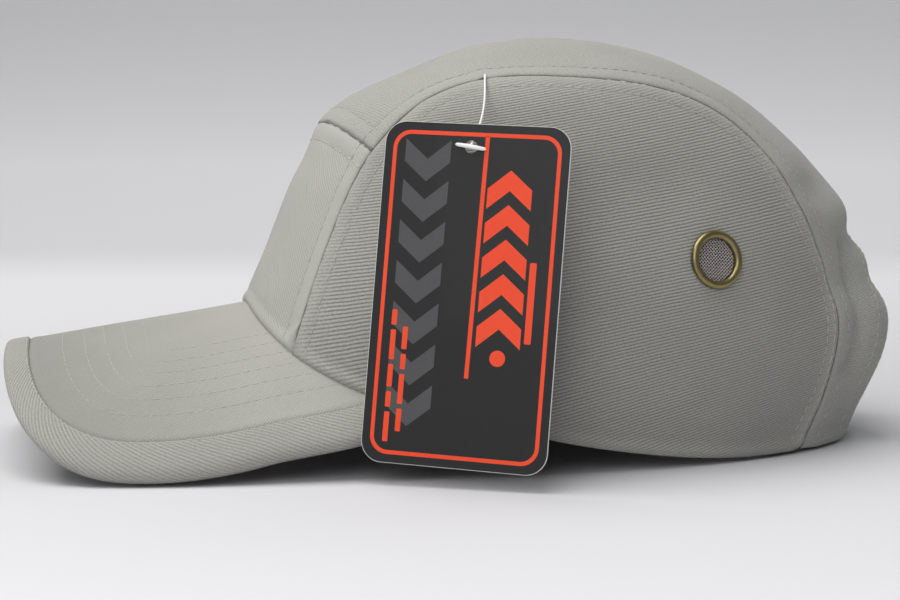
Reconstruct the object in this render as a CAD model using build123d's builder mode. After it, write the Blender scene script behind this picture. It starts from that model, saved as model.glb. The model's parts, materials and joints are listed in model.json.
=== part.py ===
"""Five-panel bump cap: twill crown and curved visor, mesh eyelets, hook-and-loop rear strap,
a removable ABS shell with foam pads inside, and a card hang tag on a nylon fastener.

Millimetres, +Z up. The origin is the centre of the head opening at the level of the surface
that the cap stands on. The visor points along -Y and the wearer's left side is +X.
"""
import os
from math import cos, exp, pi, radians, sin, sqrt

from build123d import *

os.makedirs("parts", exist_ok=True)

# ---------------------------------------------------------------- driving dimensions
# Crown: height, front, rear and half width of each level section of the outer surface.
CROWN_LEVELS = [
    (-14, -100.5, 96.5, 74.0),
    (-2, -99.6, 100.0, 75.8),
    (10, -98.5, 102.5, 77.0),
    (25, -96.8, 105.5, 79.0),
    (40, -93.5, 107.0, 79.6),
    (55, -87.5, 106.0, 78.6),
    (70, -81.5, 101.5, 75.5),
    (85, -75.0, 91.0, 71.5),
    (98, -68.8, 75.5, 66.8),
    (106, -61.0, 65.0, 61.5),
    (112, -49.5, 54.5, 54.5),
    (117, -37.0, 44.0, 44.0),
    (121.5, -25.0, 31.5, 31.5),
    (124.5, -12.0, 18.0, 17.5),
    (125.6, -3.0, 8.0, 5.5),
]
CROWN_CENTRE = Vector(0, 6, 20)
CROWN_REACH = Vector(79.6, 100, 105.6)
WIDEST_AT = 0.42
FRONT_ROUND = 2.4
REAR_ROUND = 2.0
SECTION_POINTS = 40
EVEN_STEPS = [float(step) for step in range(SECTION_POINTS + 1)]

# The edges of the rear arch stand out from the head in a soft flare.
FLARE = 8.0
FLARE_X = 30.0
FLARE_Z = 34.0
FLARE_WIDTH = 16.0
FLARE_HEIGHT = 22.0

# Cloth and what is sewn behind it, as depths under the crown's outer surface.
FABRIC = 1.2
TAPE = 0.6
BUCKRAM = 1.0
BAND_OUTSIDE = 2.4
BAND_INSIDE = 4.0
BAND_HEIGHT = 32.0
HEM_HEIGHT = 6.0
TAPE_INSIDE = 6.0
TAPE_OUTSIDE = 3.0
SEAM_MIDDLE = (0, 30)

# Visor: a tilted cylindrical shell inside a rounded plan outline.
VISOR_RADIUS = 103.5
VISOR_TOP = 43.6
VISOR_ROOT = -93.0
VISOR_SLOPE = 0.155
VISOR_HALF_WIDTH = 77.0
VISOR_LENGTH = 71.5
VISOR_TAIL = 66.0
VISOR_SQUARENESS = 4
VISOR_POINTS = 24
VISOR_APPROACH = 80.0
VISOR_DROP = 60.0
VISOR_END = -46.0
BINDING = 0.3
COVER = 0.5
BOARD = 1.2
BINDING_WIDTH = 6.5
EDGE_WRAP = 0.5
BOARD_INSET = 0.8

# Rear opening and strap.
ARCH_HALF_WIDTH = 30.0
ARCH_TOP = 61.0
ARCH_BINDING = 9.0
STRAP_LOW = 1.0
STRAP_HIGH = 20.5
STRAP_GAP = 0.3
STRAP_TAPE = 0.7
TAPE_MARGIN = 1.5
STRAP_PIVOT_X = -30.0
STRAP_ROUND = 8.0

# Mesh eyelets, one on each side.
EYELET_Y = 36.0
EYELET_Z = 60.0
EYELET_RADIUS = 8.5
EYELET_BORE = 6.2
EYELET_BARREL = 6.6
EYELET_HOLE = 6.8
EYELET_DOME = 1.4
EYELET_LIFT = 0.15
EYELET_DEPTH = 2.6
MESH_DEPTH = 0.6
MESH_THICKNESS = 0.3
WASHER = 0.5
EYELET_FIT = 0.05

# Shell: how far it stays inside the crown at the sides, at front and rear, and at the top.
SHELL_SIDE = 8.4
SHELL_END = 9.6
SHELL_TOP = 4.2
SHELL_WALL = 2.2
TRIM_PROUD = 0.6
SHELL_RIM_FRONT = 50.0
SHELL_RIM_REAR = 62.0
RIM_TRIM = 5.0
PAD = 6.0
PAD_CORNER = 9.0
DOT_RADIUS = 9.0
DOT = 1.2
DOT_PLACES = [(0, -30), (0, 44), (-27, 6), (27, 6)]
VENT_LENGTH = 24.0
VENT_WIDTH = 6.0
VENT_PLACES = [(x, y) for x in (-44, -22, 22, 44) for y in (-24, 36)]

# Hang tag: a card that leans outwards, turned to the front, on a nylon fastener.
TAG_WIDTH = 52.7
TAG_HEIGHT = 94.0
TAG_THICKNESS = 0.6
TAG_CORNER = 6.0
TAG_CENTRE = (88.3, -40.0, 52.2)
TAG_TURN = -27.2
TAG_LEAN = 8.3
TAG_TILT = -2.3
TAG_HOLE = (-1.6, 40.6)
TAG_HOLE_RADIUS = 1.8
SEAM_HOLE_Y = -27.0
SEAM_HOLE_Z = 111.9
SEAM_HOLE_RADIUS = 1.3
FILAMENT = 0.4
BAR_RADIUS = 0.6
BAR_LENGTH = 9.0
ANCHOR_DEPTH = 3.6
ROOT_HEIGHT = 1.0

HOLE_REACH = 8.0
FAR = 200.0

# ---------------------------------------------------------------- shared shapes


def section_points(front, rear, half_width, z, flare):
    """Points of one level section: a superellipse, fuller in front, flared at the arch edges."""
    middle = front + WIDEST_AT * (rear - front)
    points = []
    for step in range(SECTION_POINTS):
        turn = 2 * pi * step / SECTION_POINTS
        power = REAR_ROUND if sin(turn) > 0 else FRONT_ROUND
        length = rear - middle if sin(turn) > 0 else middle - front
        reach = (abs(cos(turn) / half_width) ** power + abs(sin(turn) / length) ** power) ** (-1 / power)
        x = reach * cos(turn)
        y = middle + reach * sin(turn)
        if sin(turn) > 0:
            beside = ((abs(x) - FLARE_X) / FLARE_WIDTH) ** 2
            above = ((z - FLARE_Z) / FLARE_HEIGHT) ** 2
            y += flare * exp(-beside - above)
        points.append((x, y))
    return points


def crown_solid(side, end=None, top=None, flare=FLARE):
    """The solid inside the crown, its surface this far under the outer one."""
    end = side if end is None else end
    top = side if top is None else top
    scale_x = 1 - side / CROWN_REACH.X
    scale_y = 1 - end / CROWN_REACH.Y
    scale_z = 1 - top / CROWN_REACH.Z
    with BuildPart() as solid:
        for z, front, rear, half_width in CROWN_LEVELS:
            level = CROWN_CENTRE.Z + (z - CROWN_CENTRE.Z) * scale_z
            front_y = CROWN_CENTRE.Y + (front - CROWN_CENTRE.Y) * scale_y
            rear_y = CROWN_CENTRE.Y + (rear - CROWN_CENTRE.Y) * scale_y
            points = section_points(front_y, rear_y, half_width * scale_x, z, flare)
            with BuildSketch(Plane.XY.offset(level)):
                with BuildLine():
                    add(Edge.make_spline(points, periodic=True, parameters=EVEN_STEPS))
                make_face()
        loft()
    return solid.part


def grown(points, amount):
    """A side-view outline in (Y, Z) pushed out from its middle, or drawn in, by the amount."""
    middle_y, middle_z = SEAM_MIDDLE
    moved = []
    for y, z in points:
        reach = sqrt((y - middle_y) ** 2 + (z - middle_z) ** 2)
        factor = 1 + amount / reach
        moved.append((middle_y + (y - middle_y) * factor, middle_z + (z - middle_z) * factor))
    return moved


def side_prism(points, smooth=True):
    """A prism across the cap from a side-view outline in (Y, Z), its first and last points sharp."""
    with BuildPart() as prism:
        with BuildSketch(Plane.YZ):
            with BuildLine():
                if smooth:
                    Spline(*points[1:-1])
                    Polyline(points[-2], points[-1], points[0], points[1])
                else:
                    Polyline(*points, close=True)
            make_face()
        extrude(amount=FAR, both=True)
    return prism.part


def visor_outline(inset):
    """Plan outline of the visor, a superellipse with a longer nose than tail."""
    points = []
    for step in range(VISOR_POINTS):
        turn = 2 * pi * step / VISOR_POINTS
        length = VISOR_LENGTH if sin(turn) < 0 else VISOR_TAIL
        across = abs(cos(turn)) ** (2 / VISOR_SQUARENESS) * (1 if cos(turn) > 0 else -1)
        along = abs(sin(turn)) ** (2 / VISOR_SQUARENESS) * (1 if sin(turn) > 0 else -1)
        x = (VISOR_HALF_WIDTH - inset) * across
        y = VISOR_ROOT + (length - inset) * along
        points.append((x, y))
    return points


def visor_sweep(*rings):
    """Arc bands between pairs of depths under the visor's top, swept along its slope."""
    start = VISOR_ROOT - VISOR_APPROACH
    front = Plane(origin=(0, start, -VISOR_APPROACH * VISOR_SLOPE), x_dir=(1, 0, 0), z_dir=(0, -1, 0))
    run = (VISOR_END - start) * sqrt(1 + VISOR_SLOPE**2)
    with BuildPart() as band:
        with BuildSketch(front):
            for top, bottom in rings:
                with Locations((0, VISOR_TOP - VISOR_RADIUS)):
                    Circle(VISOR_RADIUS - top)
                    if bottom < VISOR_RADIUS:
                        Circle(VISOR_RADIUS - bottom, mode=Mode.SUBTRACT)
            with Locations((0, VISOR_TOP - VISOR_DROP)):
                Rectangle(4 * VISOR_HALF_WIDTH, 2 * (VISOR_DROP + 10), mode=Mode.INTERSECT)
        extrude(amount=run, dir=(0, 1, VISOR_SLOPE))
    return band.part


def visor_blank(inset):
    """The visor's plan outline as an upright prism, drawn in from the edge by the inset."""
    with BuildPart() as blank:
        with BuildSketch(Plane.XY.offset(-FAR)):
            with BuildLine():
                Spline(*visor_outline(inset), periodic=True)
            make_face()
        extrude(amount=2 * FAR)
    return blank.part


def arch_prism(margin, bottom=-FAR):
    """The rear opening's round-topped outline, grown by a margin, through the rear wall."""
    half_width = ARCH_HALF_WIDTH + margin
    spring = ARCH_TOP - ARCH_HALF_WIDTH
    with BuildPart() as prism:
        with BuildSketch(Plane.XZ):
            with BuildLine():
                Line((half_width, bottom), (half_width, spring))
                ThreePointArc((half_width, spring), (0, spring + half_width), (-half_width, spring))
                Polyline((-half_width, spring), (-half_width, bottom), (half_width, bottom))
            make_face()
        extrude(amount=-FAR)
    return prism.part


def strap_prism(start_x, end_x, low, high):
    """A strap-wide window in the rear view, rounded at its free end."""
    round_end = STRAP_ROUND
    with BuildPart() as prism:
        with BuildSketch(Plane.XZ):
            with Locations(((start_x + end_x) / 2, (low + high) / 2)):
                RectangleRounded(abs(end_x - start_x), high - low, round_end)
            corner_x = start_x + (round_end if end_x > start_x else -round_end) / 2
            with Locations((corner_x, (low + high) / 2)):
                Rectangle(round_end, high - low)
        extrude(amount=-FAR)
    return prism.part


def surface_plane(y, z, side=1):
    """Where a level line across the cap meets the crown, with the outward normal there."""
    hits = crown_outer.find_intersection_points(Axis((0, y, z), (side, 0, 0)))
    point, normal = max(hits, key=lambda hit: side * hit[0].X)
    outward = normal if side * normal.X > 0 else -normal
    return Plane(origin=point, x_dir=(0, 0, 1), z_dir=outward)


def write(name, part):
    """Label one piece and write it as the node of that name."""
    part.label = name
    export_step(part, f"parts/{name}.step")


# ---------------------------------------------------------------- layers of the crown
crown_outer = crown_solid(0)
crown_lining = crown_solid(FABRIC)
tape_core = crown_solid(FABRIC + TAPE)
buckram_core = crown_solid(FABRIC + BUCKRAM)
hem_core = crown_solid(BAND_OUTSIDE)
band_core = crown_solid(BAND_INSIDE)

HEM_CURVE = [
    (VISOR_END - 10, -40),
    (VISOR_END - 6, 21.0),
    (VISOR_END, 20.4),
    (-30, 15.0),
    (-13, 9.8),
    (12, 5.0),
    (40, 1.6),
    (75, 1.0),
    (115, 2.0),
    (130, -40),
]
below_hem = side_prism(HEM_CURVE)
below_visor = visor_sweep((BINDING, FAR))
arch = arch_prism(0)

eyelet_planes = {
    "left": surface_plane(EYELET_Y, EYELET_Z, 1),
    "right": surface_plane(EYELET_Y, EYELET_Z, -1),
}
seam_hole = surface_plane(SEAM_HOLE_Y, SEAM_HOLE_Z)


def crown_layer(outer, inner):
    """A shell between two crown solids, trimmed to the visor, the hem, the arch and the holes."""
    with BuildPart() as layer:
        add(outer)
        add(inner, mode=Mode.SUBTRACT)
        add(below_visor, mode=Mode.SUBTRACT)
        add(below_hem, mode=Mode.SUBTRACT)
        add(arch, mode=Mode.SUBTRACT)
        for plane in eyelet_planes.values():
            with BuildSketch(plane):
                Circle(EYELET_HOLE)
            extrude(amount=HOLE_REACH, both=True, mode=Mode.SUBTRACT)
        with BuildSketch(seam_hole):
            Circle(SEAM_HOLE_RADIUS)
        extrude(amount=HOLE_REACH, both=True, mode=Mode.SUBTRACT)
    return layer.part


# ---------------------------------------------------------------- crown panels
SIDE_SEAM = [
    (-100, -30),
    (-88, 14),
    (-81, 41),
    (-72, 66),
    (-59, 92),
    (-44, 106),
    (SEAM_HOLE_Y, SEAM_HOLE_Z),
    (-4, 112.6),
    (22, 110),
    (46, 101),
    (60, 88),
    (72, 69),
    (80, 53),
    (82, 38),
    (78.5, 20),
    (70, 2),
    (62, -12),
    (40, -30),
]
FRONT_REGION = [(-150, -30), (-50, -30), (-50, 82), (-59.5, 91), (-150, 181.5)]

side_region = side_prism(SIDE_SEAM)
front_region = side_prism(FRONT_REGION, smooth=False)
fabric_layer = crown_layer(crown_outer, crown_lining)

for side_name, side in (("left", 1), ("right", -1)):
    with BuildPart() as side_panel:
        add(fabric_layer)
        add(side_region, mode=Mode.INTERSECT)
        with Locations((side * FAR / 2, 0, 0)):
            Box(FAR, 2 * FAR, 2 * FAR, mode=Mode.INTERSECT)
    write(f"side_panel_{side_name}", side_panel.part)

with BuildPart() as front_panel:
    add(fabric_layer)
    add(side_region, mode=Mode.SUBTRACT)
    add(front_region, mode=Mode.INTERSECT)
write("front_panel", front_panel.part)

with BuildPart() as top_panel:
    add(fabric_layer)
    add(side_region, mode=Mode.SUBTRACT)
    add(front_region, mode=Mode.SUBTRACT)
write("top_panel", top_panel.part)

# ---------------------------------------------------------------- what is sewn inside the crown
seam_zone = side_prism(grown(SIDE_SEAM, TAPE_OUTSIDE))
seam_core = side_prism(grown(SIDE_SEAM, -TAPE_INSIDE))


def raised(height):
    """Everything lower than this height above the crown's bottom edge."""
    with BuildPart() as zone:
        for below in (below_hem, below_visor):
            add(below.moved(Location((0, 0, height))))
    return zone.part


hem_zone = raised(HEM_HEIGHT)
tape_layer = crown_layer(crown_lining, tape_core)

for side_name, side in (("left", 1), ("right", -1)):
    with BuildPart() as seam_tape:
        add(tape_layer)
        add(seam_zone, mode=Mode.INTERSECT)
        add(seam_core, mode=Mode.SUBTRACT)
        add(hem_zone, mode=Mode.SUBTRACT)
        with Locations((side * FAR / 2, 0, 0)):
            Box(FAR, 2 * FAR, 2 * FAR, mode=Mode.INTERSECT)
    write(f"seam_tape_{side_name}", seam_tape.part)

with BuildPart() as front_buckram:
    add(crown_layer(crown_lining, buckram_core))
    add(front_region, mode=Mode.INTERSECT)
    add(seam_zone, mode=Mode.SUBTRACT)
    add(hem_zone, mode=Mode.SUBTRACT)
write("front_buckram", front_buckram.part)

with BuildPart() as arch_binding:
    add(tape_layer)
    add(arch_prism(ARCH_BINDING), mode=Mode.INTERSECT)
    add(hem_zone, mode=Mode.SUBTRACT)
write("arch_binding", arch_binding.part)

with BuildPart() as hem_tape:
    add(crown_layer(crown_lining, hem_core))
    add(hem_zone, mode=Mode.INTERSECT)
write("hem_tape", hem_tape.part)

with BuildPart() as sweatband:
    add(crown_layer(hem_core, band_core))
    add(raised(BAND_HEIGHT), mode=Mode.INTERSECT)
    add(arch_prism(ARCH_BINDING + 1), mode=Mode.SUBTRACT)
write("sweatband", sweatband.part)

# ---------------------------------------------------------------- visor
cover_top = BINDING
board_top = cover_top + COVER
under_top = board_top + BOARD
under_bottom = under_top + COVER
visor_bottom = under_bottom + BINDING

for name, top, bottom, inset in (
    ("visor_top_cover", cover_top, board_top, EDGE_WRAP),
    ("visor_board", board_top, under_top, EDGE_WRAP + BOARD_INSET),
    ("visor_under_cover", under_top, under_bottom, EDGE_WRAP),
):
    with BuildPart() as visor_layer:
        add(visor_sweep((top, bottom)))
        add(visor_blank(inset), mode=Mode.INTERSECT)
        add(band_core, mode=Mode.SUBTRACT)
    write(name, visor_layer.part)

with BuildPart() as binding_channel:
    add(visor_sweep((cover_top, under_bottom)))
    add(visor_blank(EDGE_WRAP), mode=Mode.INTERSECT)

with BuildPart() as visor_binding:
    add(visor_sweep((0, visor_bottom)))
    add(visor_blank(0), mode=Mode.INTERSECT)
    add(visor_blank(BINDING_WIDTH), mode=Mode.SUBTRACT)
    add(binding_channel.part, mode=Mode.SUBTRACT)
    add(crown_outer, mode=Mode.SUBTRACT)
write("visor_binding", visor_binding.part)

# ---------------------------------------------------------------- mesh eyelets
with BuildPart() as eyelet_ring:
    with BuildSketch(Plane.XZ):
        with BuildLine():
            Polyline(
                (EYELET_BORE, EYELET_DOME / 2),
                (EYELET_BORE, -EYELET_DEPTH),
                (EYELET_BARREL, -EYELET_DEPTH),
                (EYELET_BARREL, EYELET_LIFT),
                (EYELET_RADIUS, EYELET_LIFT),
                (EYELET_RADIUS, 3 * EYELET_LIFT),
            )
            ThreePointArc(
                (EYELET_RADIUS, 3 * EYELET_LIFT),
                ((EYELET_RADIUS + EYELET_BORE) / 2, EYELET_DOME),
                (EYELET_BORE, EYELET_DOME / 2),
            )
        make_face()
    revolve(axis=Axis.Z)

with BuildPart() as eyelet_washer:
    with BuildSketch(Plane.XY.offset(2 * EYELET_FIT - EYELET_DEPTH)):
        Circle(EYELET_RADIUS - WASHER / 2)
        Circle(EYELET_BARREL + EYELET_FIT, mode=Mode.SUBTRACT)
    extrude(amount=WASHER)

with BuildPart() as eyelet_mesh:
    with BuildSketch(Plane.XY.offset(-MESH_DEPTH)):
        Circle(EYELET_BORE - EYELET_FIT)
    extrude(amount=MESH_THICKNESS)

for side_name, plane in eyelet_planes.items():
    for kind, piece in (("ring", eyelet_ring), ("washer", eyelet_washer), ("mesh", eyelet_mesh)):
        write(f"eyelet_{kind}_{side_name}", piece.part.moved(plane.location))

# ---------------------------------------------------------------- rear strap
hook_depth = FABRIC
loop_depth = hook_depth + STRAP_TAPE + STRAP_GAP
under_depth = loop_depth + STRAP_TAPE
# Each layer's depth under the crown's surface, its thickness, its sewn end and its free end.
STRAP_LAYERS = [
    ("strap_right", 0, FABRIC, STRAP_PIVOT_X + STRAP_GAP, 24),
    ("hook_tape", hook_depth, STRAP_TAPE, -10, 21),
    ("loop_tape", loop_depth, STRAP_TAPE, 18, -20),
    ("strap_left", under_depth, FABRIC, 38, -24),
]
for name, outside, thickness, start_x, end_x in STRAP_LAYERS:
    inside = outside + thickness
    trim = 0 if name.startswith("strap") else TAPE_MARGIN
    with BuildPart() as strap_piece:
        add(crown_solid(outside))
        add(crown_solid(inside), mode=Mode.SUBTRACT)
        add(strap_prism(start_x, end_x, STRAP_LOW + trim, STRAP_HIGH - trim), mode=Mode.INTERSECT)
    write(name, strap_piece.part)

# ---------------------------------------------------------------- removable insert


def shell_solid(depth):
    """The solid inside the shell's outer surface, this far under it."""
    return crown_solid(SHELL_SIDE + depth, SHELL_END + depth, SHELL_TOP + depth, flare=0)


shell_outer = shell_solid(0)
shell_inner = shell_solid(SHELL_WALL)
shell_slope = (SHELL_RIM_REAR - SHELL_RIM_FRONT) / (CROWN_REACH.Y * 2)


def below_rim(lift):
    """Everything under the shell's sloping rim, moved up by the lift."""
    low = SHELL_RIM_FRONT + lift - shell_slope * CROWN_REACH.Y
    high = SHELL_RIM_REAR + lift + shell_slope * CROWN_REACH.Y
    corners = [(-2 * CROWN_REACH.Y, -FAR), (-2 * CROWN_REACH.Y, low)]
    corners += [(2 * CROWN_REACH.Y, high), (2 * CROWN_REACH.Y, -FAR)]
    return side_prism(corners, smooth=False)


with BuildPart() as bump_shell:
    add(shell_outer)
    add(shell_inner, mode=Mode.SUBTRACT)
    add(below_rim(0), mode=Mode.SUBTRACT)
    with BuildSketch(Plane.XY.offset(SHELL_RIM_REAR)):
        with Locations(*VENT_PLACES):
            SlotOverall(VENT_LENGTH, VENT_WIDTH, rotation=90)
    extrude(amount=FAR, mode=Mode.SUBTRACT)
write("bump_shell", bump_shell.part)

with BuildPart() as rim_trim:
    add(shell_solid(-TRIM_PROUD))
    add(shell_solid(SHELL_WALL + TRIM_PROUD), mode=Mode.SUBTRACT)
    add(below_rim(-TRIM_PROUD), mode=Mode.SUBTRACT)
    add(below_rim(RIM_TRIM), mode=Mode.INTERSECT)
    add(bump_shell.part, mode=Mode.SUBTRACT)
write("rim_trim", rim_trim.part)

with BuildPart() as foam_layer:
    add(shell_inner)
    add(shell_solid(SHELL_WALL + PAD), mode=Mode.SUBTRACT)

# Each pad's view plane, its middle and its size in that view.
PADS = [
    ("crown_pad", Plane.XY.offset(SHELL_RIM_REAR), (0, 6), (62, 74)),
    ("front_pad", Plane.XZ, (0, 72), (84, 28)),
    ("rear_pad", Plane.XZ.rotated((0, 0, 180)), (0, 80), (66, 22)),
    ("side_pad_left", Plane.YZ, (4, 78), (84, 25)),
    ("side_pad_right", Plane.YZ.rotated((0, 0, 180)), (-4, 78), (84, 25)),
]
for name, plane, place, size in PADS:
    with BuildPart() as pad:
        with BuildSketch(plane):
            with Locations(place):
                RectangleRounded(*size, radius=PAD_CORNER)
        extrude(amount=FAR)
        add(foam_layer.part, mode=Mode.INTERSECT)
    write(name, pad.part)

for name, outside, inside in (
    ("hook_dots", shell_solid(-DOT), shell_outer),
    ("loop_dots", crown_lining, crown_solid(FABRIC + DOT)),
):
    with BuildPart() as dots:
        with BuildSketch(Plane.XY.offset(SHELL_RIM_REAR)):
            with Locations(*DOT_PLACES):
                Circle(DOT_RADIUS)
        extrude(amount=FAR)
        add(outside, mode=Mode.INTERSECT)
        add(inside, mode=Mode.SUBTRACT)
    write(name, dots.part)

# ---------------------------------------------------------------- hang tag and its fastener
turn = radians(TAG_TURN)
lean = radians(TAG_LEAN)
upright_face = Plane(
    origin=TAG_CENTRE,
    x_dir=(-sin(turn), cos(turn), 0),
    z_dir=(cos(turn) * cos(lean), sin(turn) * cos(lean), sin(lean)),
)
tag_face = Plane(upright_face.location * Location((0, 0, 0), (0, 0, TAG_TILT)))

with BuildPart() as hang_tag:
    with BuildSketch(tag_face):
        RectangleRounded(TAG_WIDTH, TAG_HEIGHT, TAG_CORNER)
        with Locations(TAG_HOLE):
            Circle(TAG_HOLE_RADIUS, mode=Mode.SUBTRACT)
    extrude(amount=TAG_THICKNESS)
write("hang_tag", hang_tag.part)

tag_hole = Vector(tag_face.from_local_coords((*TAG_HOLE, 0)))
bar_centre = tag_hole + tag_face.z_dir * (TAG_THICKNESS + STRAP_GAP + BAR_RADIUS)
filament_root = seam_hole.origin + seam_hole.z_dir * ROOT_HEIGHT
filament_run = bar_centre - filament_root
filament_axis = filament_run.normalized()

with BuildPart() as tag_fastener:
    with BuildSketch(Plane(origin=filament_root + filament_axis * FILAMENT, z_dir=filament_axis)):
        Circle(FILAMENT)
    extrude(amount=filament_run.length - FILAMENT)
    with BuildSketch(Plane(origin=bar_centre, z_dir=tag_face.x_dir)):
        Circle(BAR_RADIUS)
    extrude(amount=BAR_LENGTH / 2, both=True)
write("tag_fastener", tag_fastener.part)

with BuildPart() as tag_anchor:
    with BuildSketch(seam_hole.offset(-ANCHOR_DEPTH)):
        Circle(FILAMENT)
    extrude(amount=ANCHOR_DEPTH + ROOT_HEIGHT - FILAMENT)
    with BuildSketch(Plane(origin=seam_hole.origin - seam_hole.z_dir * ANCHOR_DEPTH, z_dir=(0, 1, 0))):
        Circle(BAR_RADIUS)
    extrude(amount=BAR_LENGTH / 2, both=True)
write("tag_anchor", tag_anchor.part)

print("tag pivot", tag_hole, "turn axis", tag_face.z_dir, "lift axis", -tag_face.x_dir)
print("lift pivot", filament_root, "filament", round(filament_run.length, 1))
print("eyelets", eyelet_planes["left"].origin, eyelet_planes["left"].z_dir)
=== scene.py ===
"""The looks of a five-panel bump cap: twill panels, sewn visor, mesh eyelets, insert and hang tag.

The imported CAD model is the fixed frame. Every piece of cloth is laid on the CAD surfaces by rays,
so it follows the model's own seams and edges. Metres, +Z up, the visor points along -Y.
"""
import json
from math import atan2, cos, exp, pi, radians, sin, sqrt

import bmesh
import bpy
import numpy as np
from mathutils import Matrix, Vector, noise
from mathutils.bvhtree import BVHTree
from mathutils.interpolate import poly_3d_calc
from mathutils.kdtree import KDTree


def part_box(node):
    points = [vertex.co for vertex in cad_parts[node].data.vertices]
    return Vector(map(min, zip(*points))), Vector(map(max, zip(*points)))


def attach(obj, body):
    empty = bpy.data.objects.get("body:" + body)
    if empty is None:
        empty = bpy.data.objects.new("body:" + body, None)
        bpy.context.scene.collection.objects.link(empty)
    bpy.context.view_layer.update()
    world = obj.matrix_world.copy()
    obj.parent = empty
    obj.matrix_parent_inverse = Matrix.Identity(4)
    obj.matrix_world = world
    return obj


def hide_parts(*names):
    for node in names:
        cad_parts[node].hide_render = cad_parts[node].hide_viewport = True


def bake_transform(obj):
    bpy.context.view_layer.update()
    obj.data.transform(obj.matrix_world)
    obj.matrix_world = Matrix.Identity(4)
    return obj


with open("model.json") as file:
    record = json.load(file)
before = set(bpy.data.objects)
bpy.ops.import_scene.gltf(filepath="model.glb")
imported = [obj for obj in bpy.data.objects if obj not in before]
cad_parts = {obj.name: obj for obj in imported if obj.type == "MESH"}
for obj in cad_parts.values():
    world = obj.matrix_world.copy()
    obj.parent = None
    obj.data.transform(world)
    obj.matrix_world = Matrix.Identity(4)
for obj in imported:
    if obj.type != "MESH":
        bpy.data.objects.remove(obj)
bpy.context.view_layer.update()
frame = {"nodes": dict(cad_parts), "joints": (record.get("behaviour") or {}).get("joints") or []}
NODES = frame["nodes"]
MM = 0.001

# ---------------------------------------------------------------- sizes that the cloth adds to the CAD
CLOTH = 1.0 * MM
VISOR_CLOTH = 0.5 * MM
RAY_START = 0.3
ROUNDING = 0.75  # share of the way from the flat triangles to the rounded surface
HEAD_MIDDLE = Vector((0, 0, 40 * MM))
CROWN_AXIS = (6 * MM, 20 * MM)
FRONT_LENGTH = 62 * MM
TOP_LENGTH = 190 * MM
TOP_SPLIT = 78 * MM
ARCH_MIDDLE = 31 * MM
EDGE_STEPS = [step * MM for step in (0, 0.3, 0.6, 0.95, 1.4, 2.0, 2.7, 3.5, 4.4, 5.3, 6.2, 7.4, 9.0)]
PANEL_ANGLES = 300
STITCH_PITCH = 3.1 * MM
STITCH_LENGTH = 2.3 * MM
STITCH_WIDTH = 0.38 * MM
SEAM_ROW = 6.0 * MM
REAR_ROW = 2.6 * MM
REAR_ROW_FROM = 46 * MM
ARCH_ROWS = (8.5 * MM, 2.4 * MM)
VISOR_MIDDLE = -30 * MM
VISOR_COLUMNS = 220
VISOR_START = radians(15)
VISOR_ROWS = [row * MM for row in (10, 16.5, 22.5, 28.5, 34.5, 40.5)]


# ---------------------------------------------------------------- materials
def add(tree, kind, inputs=None, **settings):
    """A shader node with its settings, and its inputs given as values or as other nodes' outputs."""
    node = tree.nodes.new(kind)
    for key, value in settings.items():
        setattr(node, key, value)
    for key, value in (inputs or {}).items():
        if isinstance(value, bpy.types.NodeSocket):
            tree.links.new(value, node.inputs[key])
        else:
            node.inputs[key].default_value = value
    return node


def maths(tree, operation, first, second=0.0, third=0.0):
    """The output of one Math node."""
    return add(tree, "ShaderNodeMath", {0: first, 1: second, 2: third}, operation=operation).outputs[0]


def mixed(tree, factor, first, second, blend="MIX"):
    """The colour output of one Mix node."""
    inputs = {0: factor, 6: first, 7: second}
    return add(tree, "ShaderNodeMix", inputs, data_type="RGBA", blend_type=blend).outputs[2]


def new_material(name, roughness=0.9, specular=0.25, sheen=0.0, metallic=0.0, coat=0.0):
    """A material with its Principled shader's plain numbers set."""
    material = bpy.data.materials.new(name)
    material.use_nodes = True
    shader = material.node_tree.nodes["Principled BSDF"]
    shader.inputs["Roughness"].default_value = roughness
    shader.inputs["Specular IOR Level"].default_value = specular
    shader.inputs["Sheen Weight"].default_value = sheen
    shader.inputs["Sheen Roughness"].default_value = 0.5
    shader.inputs["Metallic"].default_value = metallic
    shader.inputs["Coat Weight"].default_value = coat
    return material, material.node_tree, shader


def colour(red, green, blue):
    """A colour given in display values from 0 to 255, as the linear values that Blender works in."""
    return tuple(((part / 255 + 0.055) / 1.055) ** 2.4 for part in (red, green, blue)) + (1.0,)


def noise_at(tree, where, scale, detail):
    """The value of a Noise texture at a place."""
    return add(tree, "ShaderNodeTexNoise", {"Vector": where, "Scale": scale, "Detail": detail}).outputs[0]


def finish(tree, shader, tint, height, strength, relief):
    """Links a colour, and a bump from a height, to a shader."""
    tree.links.new(tint, shader.inputs["Base Color"])
    bump = add(tree, "ShaderNodeBump", {"Height": height, "Strength": strength, "Distance": relief * MM})
    tree.links.new(bump.outputs[0], shader.inputs["Normal"])


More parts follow.
